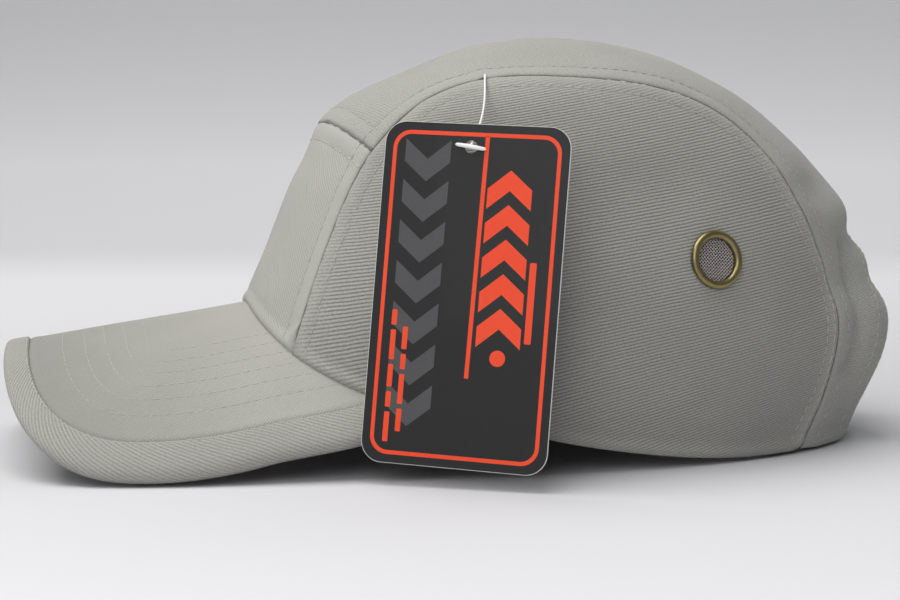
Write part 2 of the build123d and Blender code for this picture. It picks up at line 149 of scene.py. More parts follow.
def twill(name, light, dark, period, relief, angle=0.0, contrast=1.0):
    """Ribbed cotton twill on UVs in metres: broad ribs along U turned by an angle, thin dark lines
    between them, fine yarns across, flatter cloth where the flat numbers say, and painted shade,
    darker cloth, where the shade numbers say."""
    material, tree, shader = new_material(name, roughness=0.9, specular=0.18, sheen=0.1)
    period *= MM
    uv = add(tree, "ShaderNodeUVMap").outputs[0]
    spot = add(tree, "ShaderNodeSeparateXYZ", {0: uv})
    along, across = spot.outputs[0], spot.outputs[1]
    turned = maths(tree, "MULTIPLY", along, sin(angle))
    turned = maths(tree, "MULTIPLY_ADD", across, cos(angle), turned)
    turned = maths(tree, "MULTIPLY_ADD", noise_at(tree, uv, 190.0, 3.0), 0.35 * period, turned)
    wave = maths(tree, "SINE", maths(tree, "MULTIPLY", turned, 2 * pi / period))
    trough = maths(tree, "POWER", maths(tree, "MULTIPLY_ADD", wave, -0.5, 0.5), 2.2)
    yarn_line = maths(tree, "MULTIPLY_ADD", across, 0.8, along)
    yarn = maths(tree, "SINE", maths(tree, "MULTIPLY", yarn_line, 2 * pi / (0.45 * period)))
    fuzz = maths(tree, "SUBTRACT", noise_at(tree, uv, 1700.0, 4.0), 0.5)
    flat = add(tree, "ShaderNodeAttribute", attribute_name="flat").outputs["Fac"]
    shade = add(tree, "ShaderNodeAttribute", attribute_name="shade").outputs["Fac"]
    groove = maths(tree, "MULTIPLY", trough, maths(tree, "MULTIPLY_ADD", flat, -0.7, 1.0))
    height = maths(tree, "MULTIPLY_ADD", groove, -1.6, maths(tree, "MULTIPLY", yarn, 0.14))
    height = maths(tree, "MULTIPLY_ADD", fuzz, 1.0, height)
    tone = maths(tree, "MULTIPLY_ADD", groove, -0.62 * contrast, 0.8)
    tone = maths(tree, "MULTIPLY_ADD", yarn, 0.04 * contrast, tone)
    tone = maths(tree, "MULTIPLY_ADD", fuzz, 0.7, tone)
    patch = maths(tree, "MULTIPLY_ADD", noise_at(tree, uv, 45.0, 4.0), 0.14, 0.93)
    # Painted shade: the colour is darkened where the shade number is high.
    patch = maths(tree, "MULTIPLY", patch, maths(tree, "MULTIPLY_ADD", shade, -0.8, 1.0))
    grey = add(tree, "ShaderNodeCombineXYZ", {0: patch, 1: patch, 2: patch}).outputs[0]
    tint = mixed(tree, 1.0, mixed(tree, tone, dark, light), grey, "MULTIPLY")
    finish(tree, shader, tint, height, 0.8, relief)
    return material


def grained(name, base, other, scale, relief, **shader_values):
    """A plain material with a noise grain in its colour and its relief, on object coordinates."""
    material, tree, shader = new_material(name, **shader_values)
    where = add(tree, "ShaderNodeTexCoord").outputs["Object"]
    grain = noise_at(tree, where, scale, 4.0)
    broad = noise_at(tree, where, scale / 20, 2.0)
    tone = maths(tree, "MULTIPLY_ADD", grain, 0.5, maths(tree, "MULTIPLY", broad, 0.5))
    finish(tree, shader, mixed(tree, tone, base, other), grain, 0.6, relief)
    return material


def woven(name, base, other, pitch, relief, **shader_values):
    """A plain weave on object coordinates: yarns that pass over and under each other."""
    material, tree, shader = new_material(name, **shader_values)
    where = add(tree, "ShaderNodeTexCoord").outputs["Object"]
    spot = add(tree, "ShaderNodeSeparateXYZ", {0: where})
    round_way = maths(tree, "ADD", spot.outputs[0], spot.outputs[1])
    yarns = 2 * pi / (pitch * MM)
    warp = maths(tree, "SINE", maths(tree, "MULTIPLY", round_way, yarns))
    weft = maths(tree, "SINE", maths(tree, "MULTIPLY", spot.outputs[2], yarns))
    weave = maths(tree, "MULTIPLY", warp, weft)
    tone = maths(tree, "MULTIPLY_ADD", weave, 0.3, noise_at(tree, where, 1500.0, 3.0))
    finish(tree, shader, mixed(tree, tone, other, base), tone, 0.7, relief)
    return material


LIGHT, DARK, SOFT = (176, 175, 168), (84, 83, 78), (150, 149, 142)
# Light and dark colour, rib period and relief in millimetres, then what differs from plain twill.
TWILLS = {
    "twill": (LIGHT, DARK, 0.95, 0.1, {"contrast": 0.8}),
    "top_twill": (LIGHT, DARK, 0.8, 0.05, {"contrast": 0.3}),
    "visor_twill": (LIGHT, SOFT, 0.75, 0.07, {"angle": radians(40)}),
    "binding": (LIGHT, DARK, 0.95, 0.08, {"angle": radians(27), "contrast": 0.45}),
    "twill_under": (SOFT, (110, 109, 103), 0.8, 0.1, {}),
}
# Two colours, yarn pitch and relief in millimetres, and the shader's values.
WEAVES = {
    "buckram": ((222, 220, 212), (180, 178, 170), 0.9, 0.15, {"roughness": 0.95}),
    "tape": ((160, 157, 144), (110, 108, 98), 0.7, 0.12, {"sheen": 0.1}),
    "sweatband": ((142, 139, 127), (98, 96, 87), 0.55, 0.12, {"sheen": 0.25}),
}
BRASS = {"roughness": 0.36, "metallic": 1.0, "specular": 0.5}
WIRE_METAL = {"roughness": 0.4, "metallic": 0.5, "specular": 0.5}
SOFT_FOAM = {"roughness": 0.95, "sheen": 0.3}
GLOSSY_INK = {"roughness": 0.5, "specular": 0.35, "coat": 0.03}
# Two colours, the grain's scale, the relief in millimetres, and the shader's values.
GRAINS = {
    "thread": ((164, 163, 156), (192, 191, 184), 3000.0, 0.05, {"roughness": 0.7}),
    "board": ((225, 225, 220), (205, 205, 200), 900.0, 0.03, {"roughness": 0.5}),
    "brass": ((104, 94, 60), (168, 156, 112), 900.0, 0.03, BRASS),
    "mesh": ((165, 155, 153), (225, 217, 215), 2500.0, 0.01, WIRE_METAL),
    "hook": ((96, 94, 84), (140, 137, 124), 2600.0, 0.4, {"roughness": 0.7}),
    "loop": ((112, 110, 99), (158, 155, 142), 1700.0, 0.5, {"roughness": 0.95, "sheen": 0.4}),
    "shell": ((30, 30, 32), (42, 42, 45), 2400.0, 0.05, {"roughness": 0.42, "specular": 0.5}),
    "trim": ((22, 22, 23), (34, 34, 35), 1800.0, 0.04, {"roughness": 0.6}),
    "foam": ((48, 48, 51), (74, 74, 78), 1500.0, 0.3, SOFT_FOAM),
    "card": ((205, 204, 200), (228, 227, 223), 1500.0, 0.03, {"roughness": 0.8}),
    "black_print": ((16, 16, 17), (30, 30, 31), 700.0, 0.02, GLOSSY_INK),
    "orange_print": ((228, 66, 34), (240, 84, 48), 900.0, 0.01, {"roughness": 0.45}),
    "grey_print": ((70, 70, 71), (86, 86, 87), 900.0, 0.01, {"roughness": 0.5}),
    "nylon": ((226, 226, 224), (244, 244, 242), 500.0, 0.01, {"roughness": 0.3, "specular": 0.5}),
}
MATERIALS = {}
for maker, table in ((twill, TWILLS), (woven, WEAVES), (grained, GRAINS)):
    for name, (base, other, size, relief, values) in table.items():
        MATERIALS[name] = maker(name, colour(*base), colour(*other), size, relief, **values)


# ---------------------------------------------------------------- rays on the CAD surfaces
NUDGES = [(0, 0, 0)]
for nudge in (0.003, 0.02, 0.1):
    shifts = (0, -nudge, nudge)
    NUDGES += [(x, y, z) for x in shifts for y in shifts for z in shifts]


class Skin:
    """The surfaces of some CAD nodes, for rays, rounded across each triangle by its corner normals."""

    def __init__(self, *names):
        points, faces = [], []
        self.corners, self.normals, self.owners = [], [], []
        for name in names:
            mesh = NODES[name].data
            first = len(points)
            points += [vertex.co.copy() for vertex in mesh.vertices]
            for face in mesh.loop_triangles:
                faces.append([first + index for index in face.vertices])
                self.corners.append([mesh.vertices[index].co.copy() for index in face.vertices])
                self.normals.append([mesh.corner_normals[loop].vector.copy() for loop in face.loops])
                self.owners.append(name)
        self.tree = BVHTree.FromPolygons(points, faces)

    def owner(self, origin, direction):
        """The node that a ray meets first, or None, and where."""
        spot, _, index, _ = self.tree.ray_cast(Vector(origin), Vector(direction))
        return (None, None) if spot is None else (self.owners[index], spot)

    def hit(self, origin, direction):
        """Where a ray meets the rounded surface, and the normal there. A ray that slips out is nudged."""
        spot = None
        for nudge in NUDGES:
            start = Vector(origin) + Vector(nudge) * MM
            spot, _, index, _ = self.tree.ray_cast(start, Vector(direction))
            if spot is not None:
                break
        corners = self.corners[index]
        weights = poly_3d_calc(corners, spot)
        normal, curved = Vector(), Vector()
        for corner, bend, weight in zip(corners, self.normals[index], weights):
            normal += weight * bend
            curved += weight * (spot - bend * (spot - corner).dot(bend))
        return spot.lerp(curved, ROUNDING), normal.normalized()


def limit(inside, outside, test):
    """The value between two at which a test that holds inside stops holding."""
    for _ in range(15):
        middle = (inside + outside) / 2
        if test(middle):
            inside = middle
        else:
            outside = middle
    return inside


def far_limit(start, step, test, most=200):
    """Walks from a start while a test holds, then closes in on where it stops."""
    value = start
    for _ in range(most):
        if not test(value + step):
            break
        value += step
    return limit(value, value + step, test)


def first_hold(start, step, test, most=200):
    """Walks from a start until a test holds, then closes in on where it begins."""
    value = start
    for _ in range(most):
        if test(value):
            break
        value += step
    return limit(value, value - step, test)


def spaced(length, middle, both=True):
    """Distances from 0 to a length, close together near the start and, if asked, near the end."""
    scale = min(1.0, 0.45 * length / EDGE_STEPS[-1])
    near = [step * scale for step in EDGE_STEPS]
    end = length - near[-1] if both else length
    inner = list(np.linspace(near[-1], end, middle + 2))[1:]
    far = [length - step for step in reversed(near[:-1])] if both else []
    return near + inner + far


# ---------------------------------------------------------------- meshes
def linked(name, data):
    """A new object in the scene."""
    thing = bpy.data.objects.new(name, data)
    bpy.context.scene.collection.objects.link(thing)
    return thing


def smoothed(mesh):
    """Smooth shading on every face."""
    mesh.polygons.foreach_set("use_smooth", [True] * len(mesh.polygons))


def new_mesh(name, points, faces, uvs=None, attributes=None):
    """A smooth mesh object from points and faces, with UVs and numbers given per point."""
    mesh = bpy.data.meshes.new(name)
    mesh.from_pydata([tuple(point) for point in points], [], faces)
    if uvs is not None:
        layer = mesh.uv_layers.new(name="UVMap")
        corner_points = np.zeros(len(mesh.loops), int)
        mesh.loops.foreach_get("vertex_index", corner_points)
        layer.data.foreach_set("uv", np.asarray(uvs, float)[corner_points].astype(np.float32).ravel())
    for key, values in (attributes or {}).items():
        mesh.attributes.new(key, "FLOAT", "POINT").data.foreach_set("value", np.asarray(values, np.float32))
    smoothed(mesh)
    return linked(name, mesh)


def grid_faces(rows, columns, closed=False, first=0, flip=False):
    """Quads between rows of points, the last row joined to the first if closed."""
    faces = []
    for row in range(rows if closed else rows - 1):
        below = (row + 1) % rows
        for column in range(columns - 1):
            a = first + row * columns + column
            b = first + below * columns + column
            face = [a, a + 1, b + 1, b]
            faces.append(face[::-1] if flip else face)
    return faces


def tube_faces(rings, sides, first=0):
    """Quads around a tube of rings of points, its two end faces left out."""
    faces = []
    for ring in range(rings - 1):
        for side in range(sides):
            a = first + ring * sides + side
            b = first + ring * sides + (side + 1) % sides
            faces.append([a, b, b + sides, a + sides])
    return faces


def end_faces(rings, sides, first=0):
    """The two end faces of a tube of rings of points."""
    last = first + (rings - 1) * sides
    return [[first + side for side in range(sides)][::-1], [last + side for side in range(sides)]]


def run_lengths(line):
    """How far each point of a line is along it."""
    lengths = [0.0]
    for start, end in zip(line, line[1:]):
        lengths.append(lengths[-1] + (end - start).length)
    return lengths


def traced(items, points, normals, away):
    """A line of (point, normal, distance) along some items of a sheet."""
    return [(points[item], normals[item], away[item]) for item in items]


def outward(piece, middle):
    """Turns a sheet's faces so that they look away from a point."""
    mesh = piece.data
    total = 0.0
    for face in mesh.polygons:
        total += face.area * face.normal.dot(face.center - Vector(middle))
    if total < 0:
        mesh.flip_normals()


def thicken(piece, thickness):
    """Gives a sheet its thickness, inwards from its outer face."""
    solid = piece.modifiers.new("thickness", "SOLIDIFY")
    solid.thickness = thickness
    solid.offset = -1.0
    solid.use_even_offset = False


def place(piece, slot, body="cap", nodes=(), material=None):
    """Gives a piece its material, named by the slot unless one is given, its CAD body, and hides the nodes
    that it stands for.
    """
    piece.data.materials.clear()
    piece.data.materials.append(MATERIALS[material or slot])
    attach(piece, body)
    if nodes:
        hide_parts(*nodes)
    return piece


def dense(line, step=0.4 * MM):
    """A line of points with more of them, no further apart than a step."""
    result = [line[0]]
    for start, end in zip(line, line[1:]):
        count = max(1, int((end - start).length / step))
        result += [start.lerp(end, (index + 1) / count) for index in range(count)]
    return result


def distances(points, lines):
    """How far each point is from the nearest of some lines of points."""
    close = [spot for line in lines if len(line) > 1 for spot in dense(line)]
    if not close:
        return np.full(len(points), 1.0)
    tree = KDTree(len(close))
    for index, spot in enumerate(close):
        tree.insert(spot, index)
    tree.balance()
    return np.array([tree.find(point)[2] for point in points])


def settled(line, both=True):
    """A line of (point, normal) whose end normals, where a ray can meet a cut edge, come from further in."""
    points = [point for point, _ in line]
    normals = [normal for _, normal in line]
    ends = [(0, 1, 2, 3), (-1, -2, -3, -4)] if both else [(0, 1, 2, 3)]
    for *outer, inner in ends:
        for item in outer:
            if normals[item].dot(normals[inner]) < 0.93:
                normals[item] = normals[inner]
    return list(zip(points, normals))


def runs(points, keep):
    """The unbroken stretches of a line of points that a list of flags keeps."""
    lines, current = [], []
    for point, kept in zip(points, keep):
        if kept:
            current.append(point)
        elif current:
            lines.append(current)
            current = []
    if current:
        lines.append(current)
    return lines


def bell(value, middle, width):
    """A smooth bump of height 1."""
    return exp(-(((value - middle) / width) ** 2))


def bells(value, shapes):
    """The sum of some bumps, each given as its height, middle and width."""
    return sum(height * bell(value, middle, width) for height, middle, width in shapes)


EYELETS = {}
for side_name in ("left", "right"):
    ring_low, ring_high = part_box(f"eyelet_ring_{side_name}")
    EYELETS[side_name] = (ring_low + ring_high) / 2

# Soft folds of the loose crown, as lines in the rear view (x, z), each with its depth and width.
REAR_FOLDS = [
    (
        [(-46, 70), (-30, 70), (-10, 67.5), (10, 67), (30, 66), (38, 61), (41, 50), (42, 36), (44, 24)],
        1.9, 4.2,
    ),
    ([(-41, 60), (-43, 44), (-45, 28)], 1.3, 4.5),
    ([(60, 80), (-60, 80)], 1.7, 8.0),
    ([(50, 63), (-50, 63)], 2.4, 8.5),
    ([(48, 51), (26, 51)], 3.0, 7.5),
    ([(-48, 51), (-26, 51)], 3.0, 7.5),
    ([(40, 64), (42, 50), (42.5, 36), (43, 26)], 1.4, 1.8),
    ([(44, 78), (30, 84), (12, 86), (-10, 84)], 0.7, 6.0),
]
FOLDS_FROM, FOLDS_FULL = 58, 80  # where along the cap, in millimetres, the folds begin and are whole
# Rise and fall of the cloth, as bumps of a height at a distance from a seam or an edge, all in mm.
SEAM_SHAPE = ((-0.4, 0, 0.6), (0.22, 2.6, 2.0), (-0.16, 6.0, 0.5))
HEM_SHAPE = ((-0.5, 0, 0.6), (0.5, 2.0, 1.5), (-0.15, 4.6, 0.8))
VISOR_SHAPE = ((-0.35, 0, 0.6), (0.12, 2.0, 1.5))
STRAP_SHAPE = ((0.22, 0.9, 0.8), (-0.14, 2.4, 0.5))


def rear_folds(point):
    """How far the folds at the back draw the cloth in at a point, in metres."""
    if point.y < FOLDS_FROM * MM:
        return 0.0
    strength = min(1.0, (point.y / MM - FOLDS_FROM) / (FOLDS_FULL - FOLDS_FROM))
    strength = strength * strength * (3 - 2 * strength)
    here = Vector((point.x, point.z)) / MM
    total = 0.0
    for line, depth, width in REAR_FOLDS:
        nearest = 1e9
        for start, end in zip(line, line[1:]):
            a, b = Vector(start), Vector(end)
            share = max(0.0, min(1.0, (here - a).dot(b - a) / (b - a).length_squared))
            nearest = min(nearest, (here - a.lerp(b, share)).length)
        total += depth * bell(nearest, 0, width)
    return total * strength * MM


def waves(point, size, seed):
    """Smooth noise from -1 to 1 that changes over a size."""
    return noise.noise(Vector(point) / size + Vector((seed, 2 * seed, 0)))


def drape(points, normals, seams, hems, seed, softness=1.0):
    """Cloth laid on a surface: drawn in at its seams, padded beside them, with soft folds between.

    Returns the moved points, the distances from the seams and from the hems.
    """
    from_seam = distances(points, seams)
    from_hem = distances(points, hems)
    moved = []
    for point, normal, seam, hem in zip(points, normals, from_seam / MM, from_hem / MM):
        lift = bells(seam, SEAM_SHAPE) + bells(hem, HEM_SHAPE)
        pucker = waves(point, 5.5 * MM, seed + 7)
        lift += 0.15 * pucker * (bell(seam, 3.5, 3.5) + 0.6 * bell(hem, 3.0, 3.0))
        calm = min(1.0, min(seam, hem) / 8.0)
        for centre in EYELETS.values():
            near = (point - centre).length / MM
            calm = min(calm, max(0.0, (near - 9.0) / 12.0))
        soft = 0.75 * waves(point, 34 * MM, seed) + 0.28 * waves(point, 15 * MM, seed + 3)
        lift += softness * calm * soft
        moved.append(point + normal * (lift * MM) - normal * rear_folds(point))
    return moved, from_seam, from_hem


def contour(lines, distance):
    """The points at one distance from an edge, one on each line that crosses it."""
    found = []
    for line in lines:
        crossing = None
        for (point, normal, near), (next_point, _, far) in zip(line, line[1:]):
            if near <= distance < far:
                share = (distance - near) / (far - near)
                crossing = (point.lerp(next_point, share), normal)
                break
        found.append(crossing)
    return found


def stitches(name, rows, pitch=STITCH_PITCH, length=STITCH_LENGTH, width=STITCH_WIDTH, body="cap"):
    """Rows of sewn stitches: small flat-bottomed lozenges along lines of (point, normal)."""
    points, faces = [], []
    sides = 6
    # Each ring: its place along the stitch, its size, and how high it stands in stitch widths.
    rings = ((-0.5, 0.3, -0.25), (-0.36, 0.85, 0.0), (0.0, 1.0, 0.12), (0.36, 0.85, 0.0), (0.5, 0.3, -0.25))
    for row in rows:
        spots = [spot for spot in row if spot]
        if len(spots) < 3:
            continue
        travelled = run_lengths([spot for spot, _ in spots])
        count = int(travelled[-1] / pitch)
        index = 0
        for step in range(count):
            goal = (step + 0.5) * travelled[-1] / count
            while travelled[index + 1] < goal:
                index += 1
            span = travelled[index + 1] - travelled[index]
            if span > 6 * pitch or span <= 0:
                continue
            share = (goal - travelled[index]) / span
            centre = spots[index][0].lerp(spots[index + 1][0], share)
            normal = spots[index][1]
            way = (spots[index + 1][0] - spots[index][0]).normalized()
            across = normal.cross(way).normalized()
            first = len(points)
            for along, size, rise in rings:
                middle = centre + way * (along * length) + normal * ((rise + 0.1) * width)
                for side in range(sides):
                    turn = 2 * pi * side / sides
                    ring_point = across * cos(turn) + normal * (0.8 * sin(turn))
                    points.append(middle + ring_point * (size * width / 2))
            faces += tube_faces(len(rings), sides, first) + end_faces(len(rings), sides, first)
    piece = new_mesh(name, points, faces)
    return place(piece, "twill", body, material="thread")


# ---------------------------------------------------------------- crown panels
CROWN_NODES = ("side_panel_left", "side_panel_right", "top_panel", "front_panel")
crown = Skin(*CROWN_NODES)


def rib_line(y, z):
    """UV on a side panel: along the ribs, and across them, rising towards the back."""
    over_top = max(0.0, z - 70 * MM)
    height = z + 3.5 * over_top**2
    bow = ((z - 65 * MM) / (55 * MM)) ** 2
    slope = 0.16 + 0.13 * bow
    return (y, height - slope * y)


def flat_and_painted_shade(seam, hem):
    """Numbers for the twill: ribs pressed flat by the layers behind, and painted shade in a seam's groove and
    along its stitch row.
    """
    flat, shade = [], []
    for near_seam, near_hem in zip(seam / MM, hem / MM):
        flat.append(min(1.0, bell(near_seam, 0, 6.5) + 0.7 * bell(near_hem, 0, 4.0)))
        # Painted shade: a dark line in the seam's groove and a fainter one in the dip along the stitch row 6
        # mm in.
        shade.append(0.75 * bell(near_seam, 0, 0.4) + 0.12 * bell(near_seam, 6.0, 0.6))
    return {"flat": flat, "shade": shade}


def side_panel(side_name, side):
    """One side panel, as rings around its eyelet out to its seam and its bottom edge."""
    node = f"side_panel_{side_name}"
    middle = EYELETS[side_name]

    def ray(angle, reach):
        origin = (side * RAY_START, middle.y + reach * cos(angle), middle.z + reach * sin(angle))
        return origin, (-side, 0, 0)

    def on_panel(angle, reach):
        owner, spot = crown.owner(*ray(angle, reach))
        return owner == node and side * spot.x > 0

    def edge(angle):
        return far_limit(12 * MM, 4 * MM, lambda reach: on_panel(angle, reach))

    def sewn(angle):
        owner, spot = crown.owner(*ray(angle, edge(angle) + 0.5 * MM))
        return owner in CROWN_NODES and side * spot.x > 0

    angles = [2 * pi * step / PANEL_ANGLES for step in range(PANEL_ANGLES)]
    flags = [sewn(angle) for angle in angles]
    for index in range(PANEL_ANGLES):
        following = (index + 1) % PANEL_ANGLES
        if flags[index] != flags[following]:
            kept = flags[index]
            end = angles[index] + 2 * pi / PANEL_ANGLES
            corner = limit(angles[index], end, lambda angle: sewn(angle) == kept)
            angles[index] = corner - 0.0001
    points, normals = [], []
    columns = 0
    for angle in angles:
        outer = edge(angle)
        inner = first_hold(4 * MM, 0.5 * MM, lambda reach: on_panel(angle, reach))
        steps = spaced(outer - inner - 0.0002 * MM, 40, both=False)
        columns = len(steps)
        for point, normal in settled([crown.hit(*ray(angle, outer - step)) for step in steps]):
            points.append(point)
            normals.append(normal)
    border = [points[index * columns] for index in range(PANEL_ANGLES)]
    looped, looped_flags = border + border[:1], flags + flags[:1]
    seams = runs(looped, looped_flags)
    hems = runs(looped, [not flag for flag in looped_flags])
    moved, from_seam, from_hem = drape(points, normals, seams, hems, seed=side * 11)
    uvs = [rib_line(point.y, point.z) for point in points]
    faces = grid_faces(PANEL_ANGLES, columns, closed=True)
    piece = new_mesh(f"{node}_cloth", moved, faces, uvs, flat_and_painted_shade(from_seam, from_hem))
    outward(piece, HEAD_MIDDLE)
    thicken(piece, CLOTH)
    place(piece, "twill", nodes=[node])
    lines = []
    for index in range(PANEL_ANGLES):
        span = range(index * columns, (index + 1) * columns)
        lines.append(traced(span, moved, normals, from_seam))
    start = max(range(PANEL_ANGLES), key=lambda index: (not flags[index - 1]) and flags[index])
    lines = lines[start:] + lines[:start]
    rear = [line if line[0][0].y > REAR_ROW_FROM else line[:1] for line in lines]
    return [contour(lines, SEAM_ROW), contour(rear, REAR_ROW)]


def crown_ray(x, angle):
    """A ray towards the crown's long middle, in an upright plane at x, from an angle above the back."""
    y, z = CROWN_AXIS
    origin = (x, y + RAY_START * cos(angle), z + RAY_START * sin(angle))
    return origin, (0, -cos(angle), -sin(angle))


def owner_at(x, angle):
    """The node that a ray of the crown meets first."""
    return crown.owner(*crown_ray(x, angle))[0]


def cross_line(start, step, test, before=None, widest=56):
    """A line across the crown, as the ray angle at each x where a test first holds from a start.

    It ends where the test fails, or where the node before it isn't the one named.
    """
    places, angles = [], []
    for half_step in range(0, 2 * widest):
        x = half_step / 2 * MM
        angle = first_hold(start, step, lambda angle: test(x, angle), most=60)
        if not test(x, angle) or (before and owner_at(x, angle - radians(0.3)) != before):
            break
        places.append(x)
        angles.append(angle)
    return places, angles


def on_front(x, angle):
    """Whether a ray of the crown meets the front panel first."""
    return owner_at(x, angle) == "front_panel"


def above_split(x, angle):
    """Whether a ray meets the crown above the line where the top panel's two grids meet."""
    spot = crown.owner(*crown_ray(x, angle))[1]
    return spot is not None and spot.z > TOP_SPLIT


FRONT_SEAM = cross_line(radians(100), radians(1.2), on_front, before="top_panel")
VISOR_LINE = cross_line(radians(186), radians(-0.8), on_front)
SPLIT_LINE = cross_line(radians(15), radians(1.2), above_split)


def between(x, share, low_line, high_line):
    """The ray angle at a share of the way from one line across the crown to another."""
    low = float(np.interp(abs(x), *low_line))
    high = float(np.interp(abs(x), *high_line))
    return low + (high - low) * share


def near_hit(x, share, low_line, high_line):
    """The near wall of the crown at x and a share of the way between two lines, drawn in if it is missed."""
    for _ in range(12):
        origin, way = crown_ray(x, between(x, share, low_line, high_line))
        point, normal = crown.hit(origin, way)
        if (point - Vector(origin)).length < RAY_START:
            break
        share = 0.5 + (share - 0.5) * 0.997
    return point, normal


def strip(node, low_line, high_line, length, middle_rows, middle_columns):
    """Rows of points across a panel between its side seams, each row at a share of its length."""
    rows = []
    for step in spaced(length, middle_rows):
        share = step / length
        safe = min(0.997, max(0.003, share))

        def on_panel(x):
            return owner_at(x, between(x, safe, low_line, high_line)) == node

        left = far_limit(20 * MM, 1 * MM, on_panel)
        right = far_limit(-20 * MM, -1 * MM, on_panel)
        row = []
        for across in spaced(left - right, middle_columns):
            row.append(near_hit(left - across, share, low_line, high_line))
        rows.append(settled(row))
    return rows


def halves(rows, columns, points, normals, away):
    """The left half of each row of a sheet, and the right half, both from the outside in."""
    left, right = [], []
    for row in range(rows):
        span = list(range(row * columns, (row + 1) * columns))
        left.append(traced(span[: columns // 2], points, normals, away))
        right.append(traced(span[::-1][: columns // 2], points, normals, away))
    return left, right


def front_panel():
    """The front panel, from the seam on top down to the visor."""
    rows = strip("front_panel", FRONT_SEAM, VISOR_LINE, FRONT_LENGTH, 34, 36)
    count, columns = len(rows), len(rows[0])
    points = [point for row in rows for point, _ in row]
    normals = [normal for row in rows for _, normal in row]
    seams = [[spot for spot, _ in rows[0]], [row[0][0] for row in rows], [row[-1][0] for row in rows]]
    hems = [[spot for spot, _ in rows[-1]]]
    moved, from_seam, from_hem = drape(points, normals, seams, hems, seed=5, softness=0.9)
    uvs = [(point.x, point.z - 0.08 * point.x) for point in points]
    piece = new_mesh(
        "front_panel_cloth", moved, grid_faces(count, columns), uvs, flat_and_painted_shade(from_seam, from_hem)
    )
    outward(piece, HEAD_MIDDLE)
    thicken(piece, CLOTH)
    place(piece, "twill", nodes=["front_panel"], material="visor_twill")
    left, right = halves(count, columns, moved, normals, distances(points, seams[1:]))
    near_top = distances(points, seams[:1])
    down = [
        traced(range(column, count * columns, columns), moved, normals, near_top) for column in range(columns)
    ]
    return [contour(left, SEAM_ROW), contour(right, SEAM_ROW), contour(down, SEAM_ROW)]


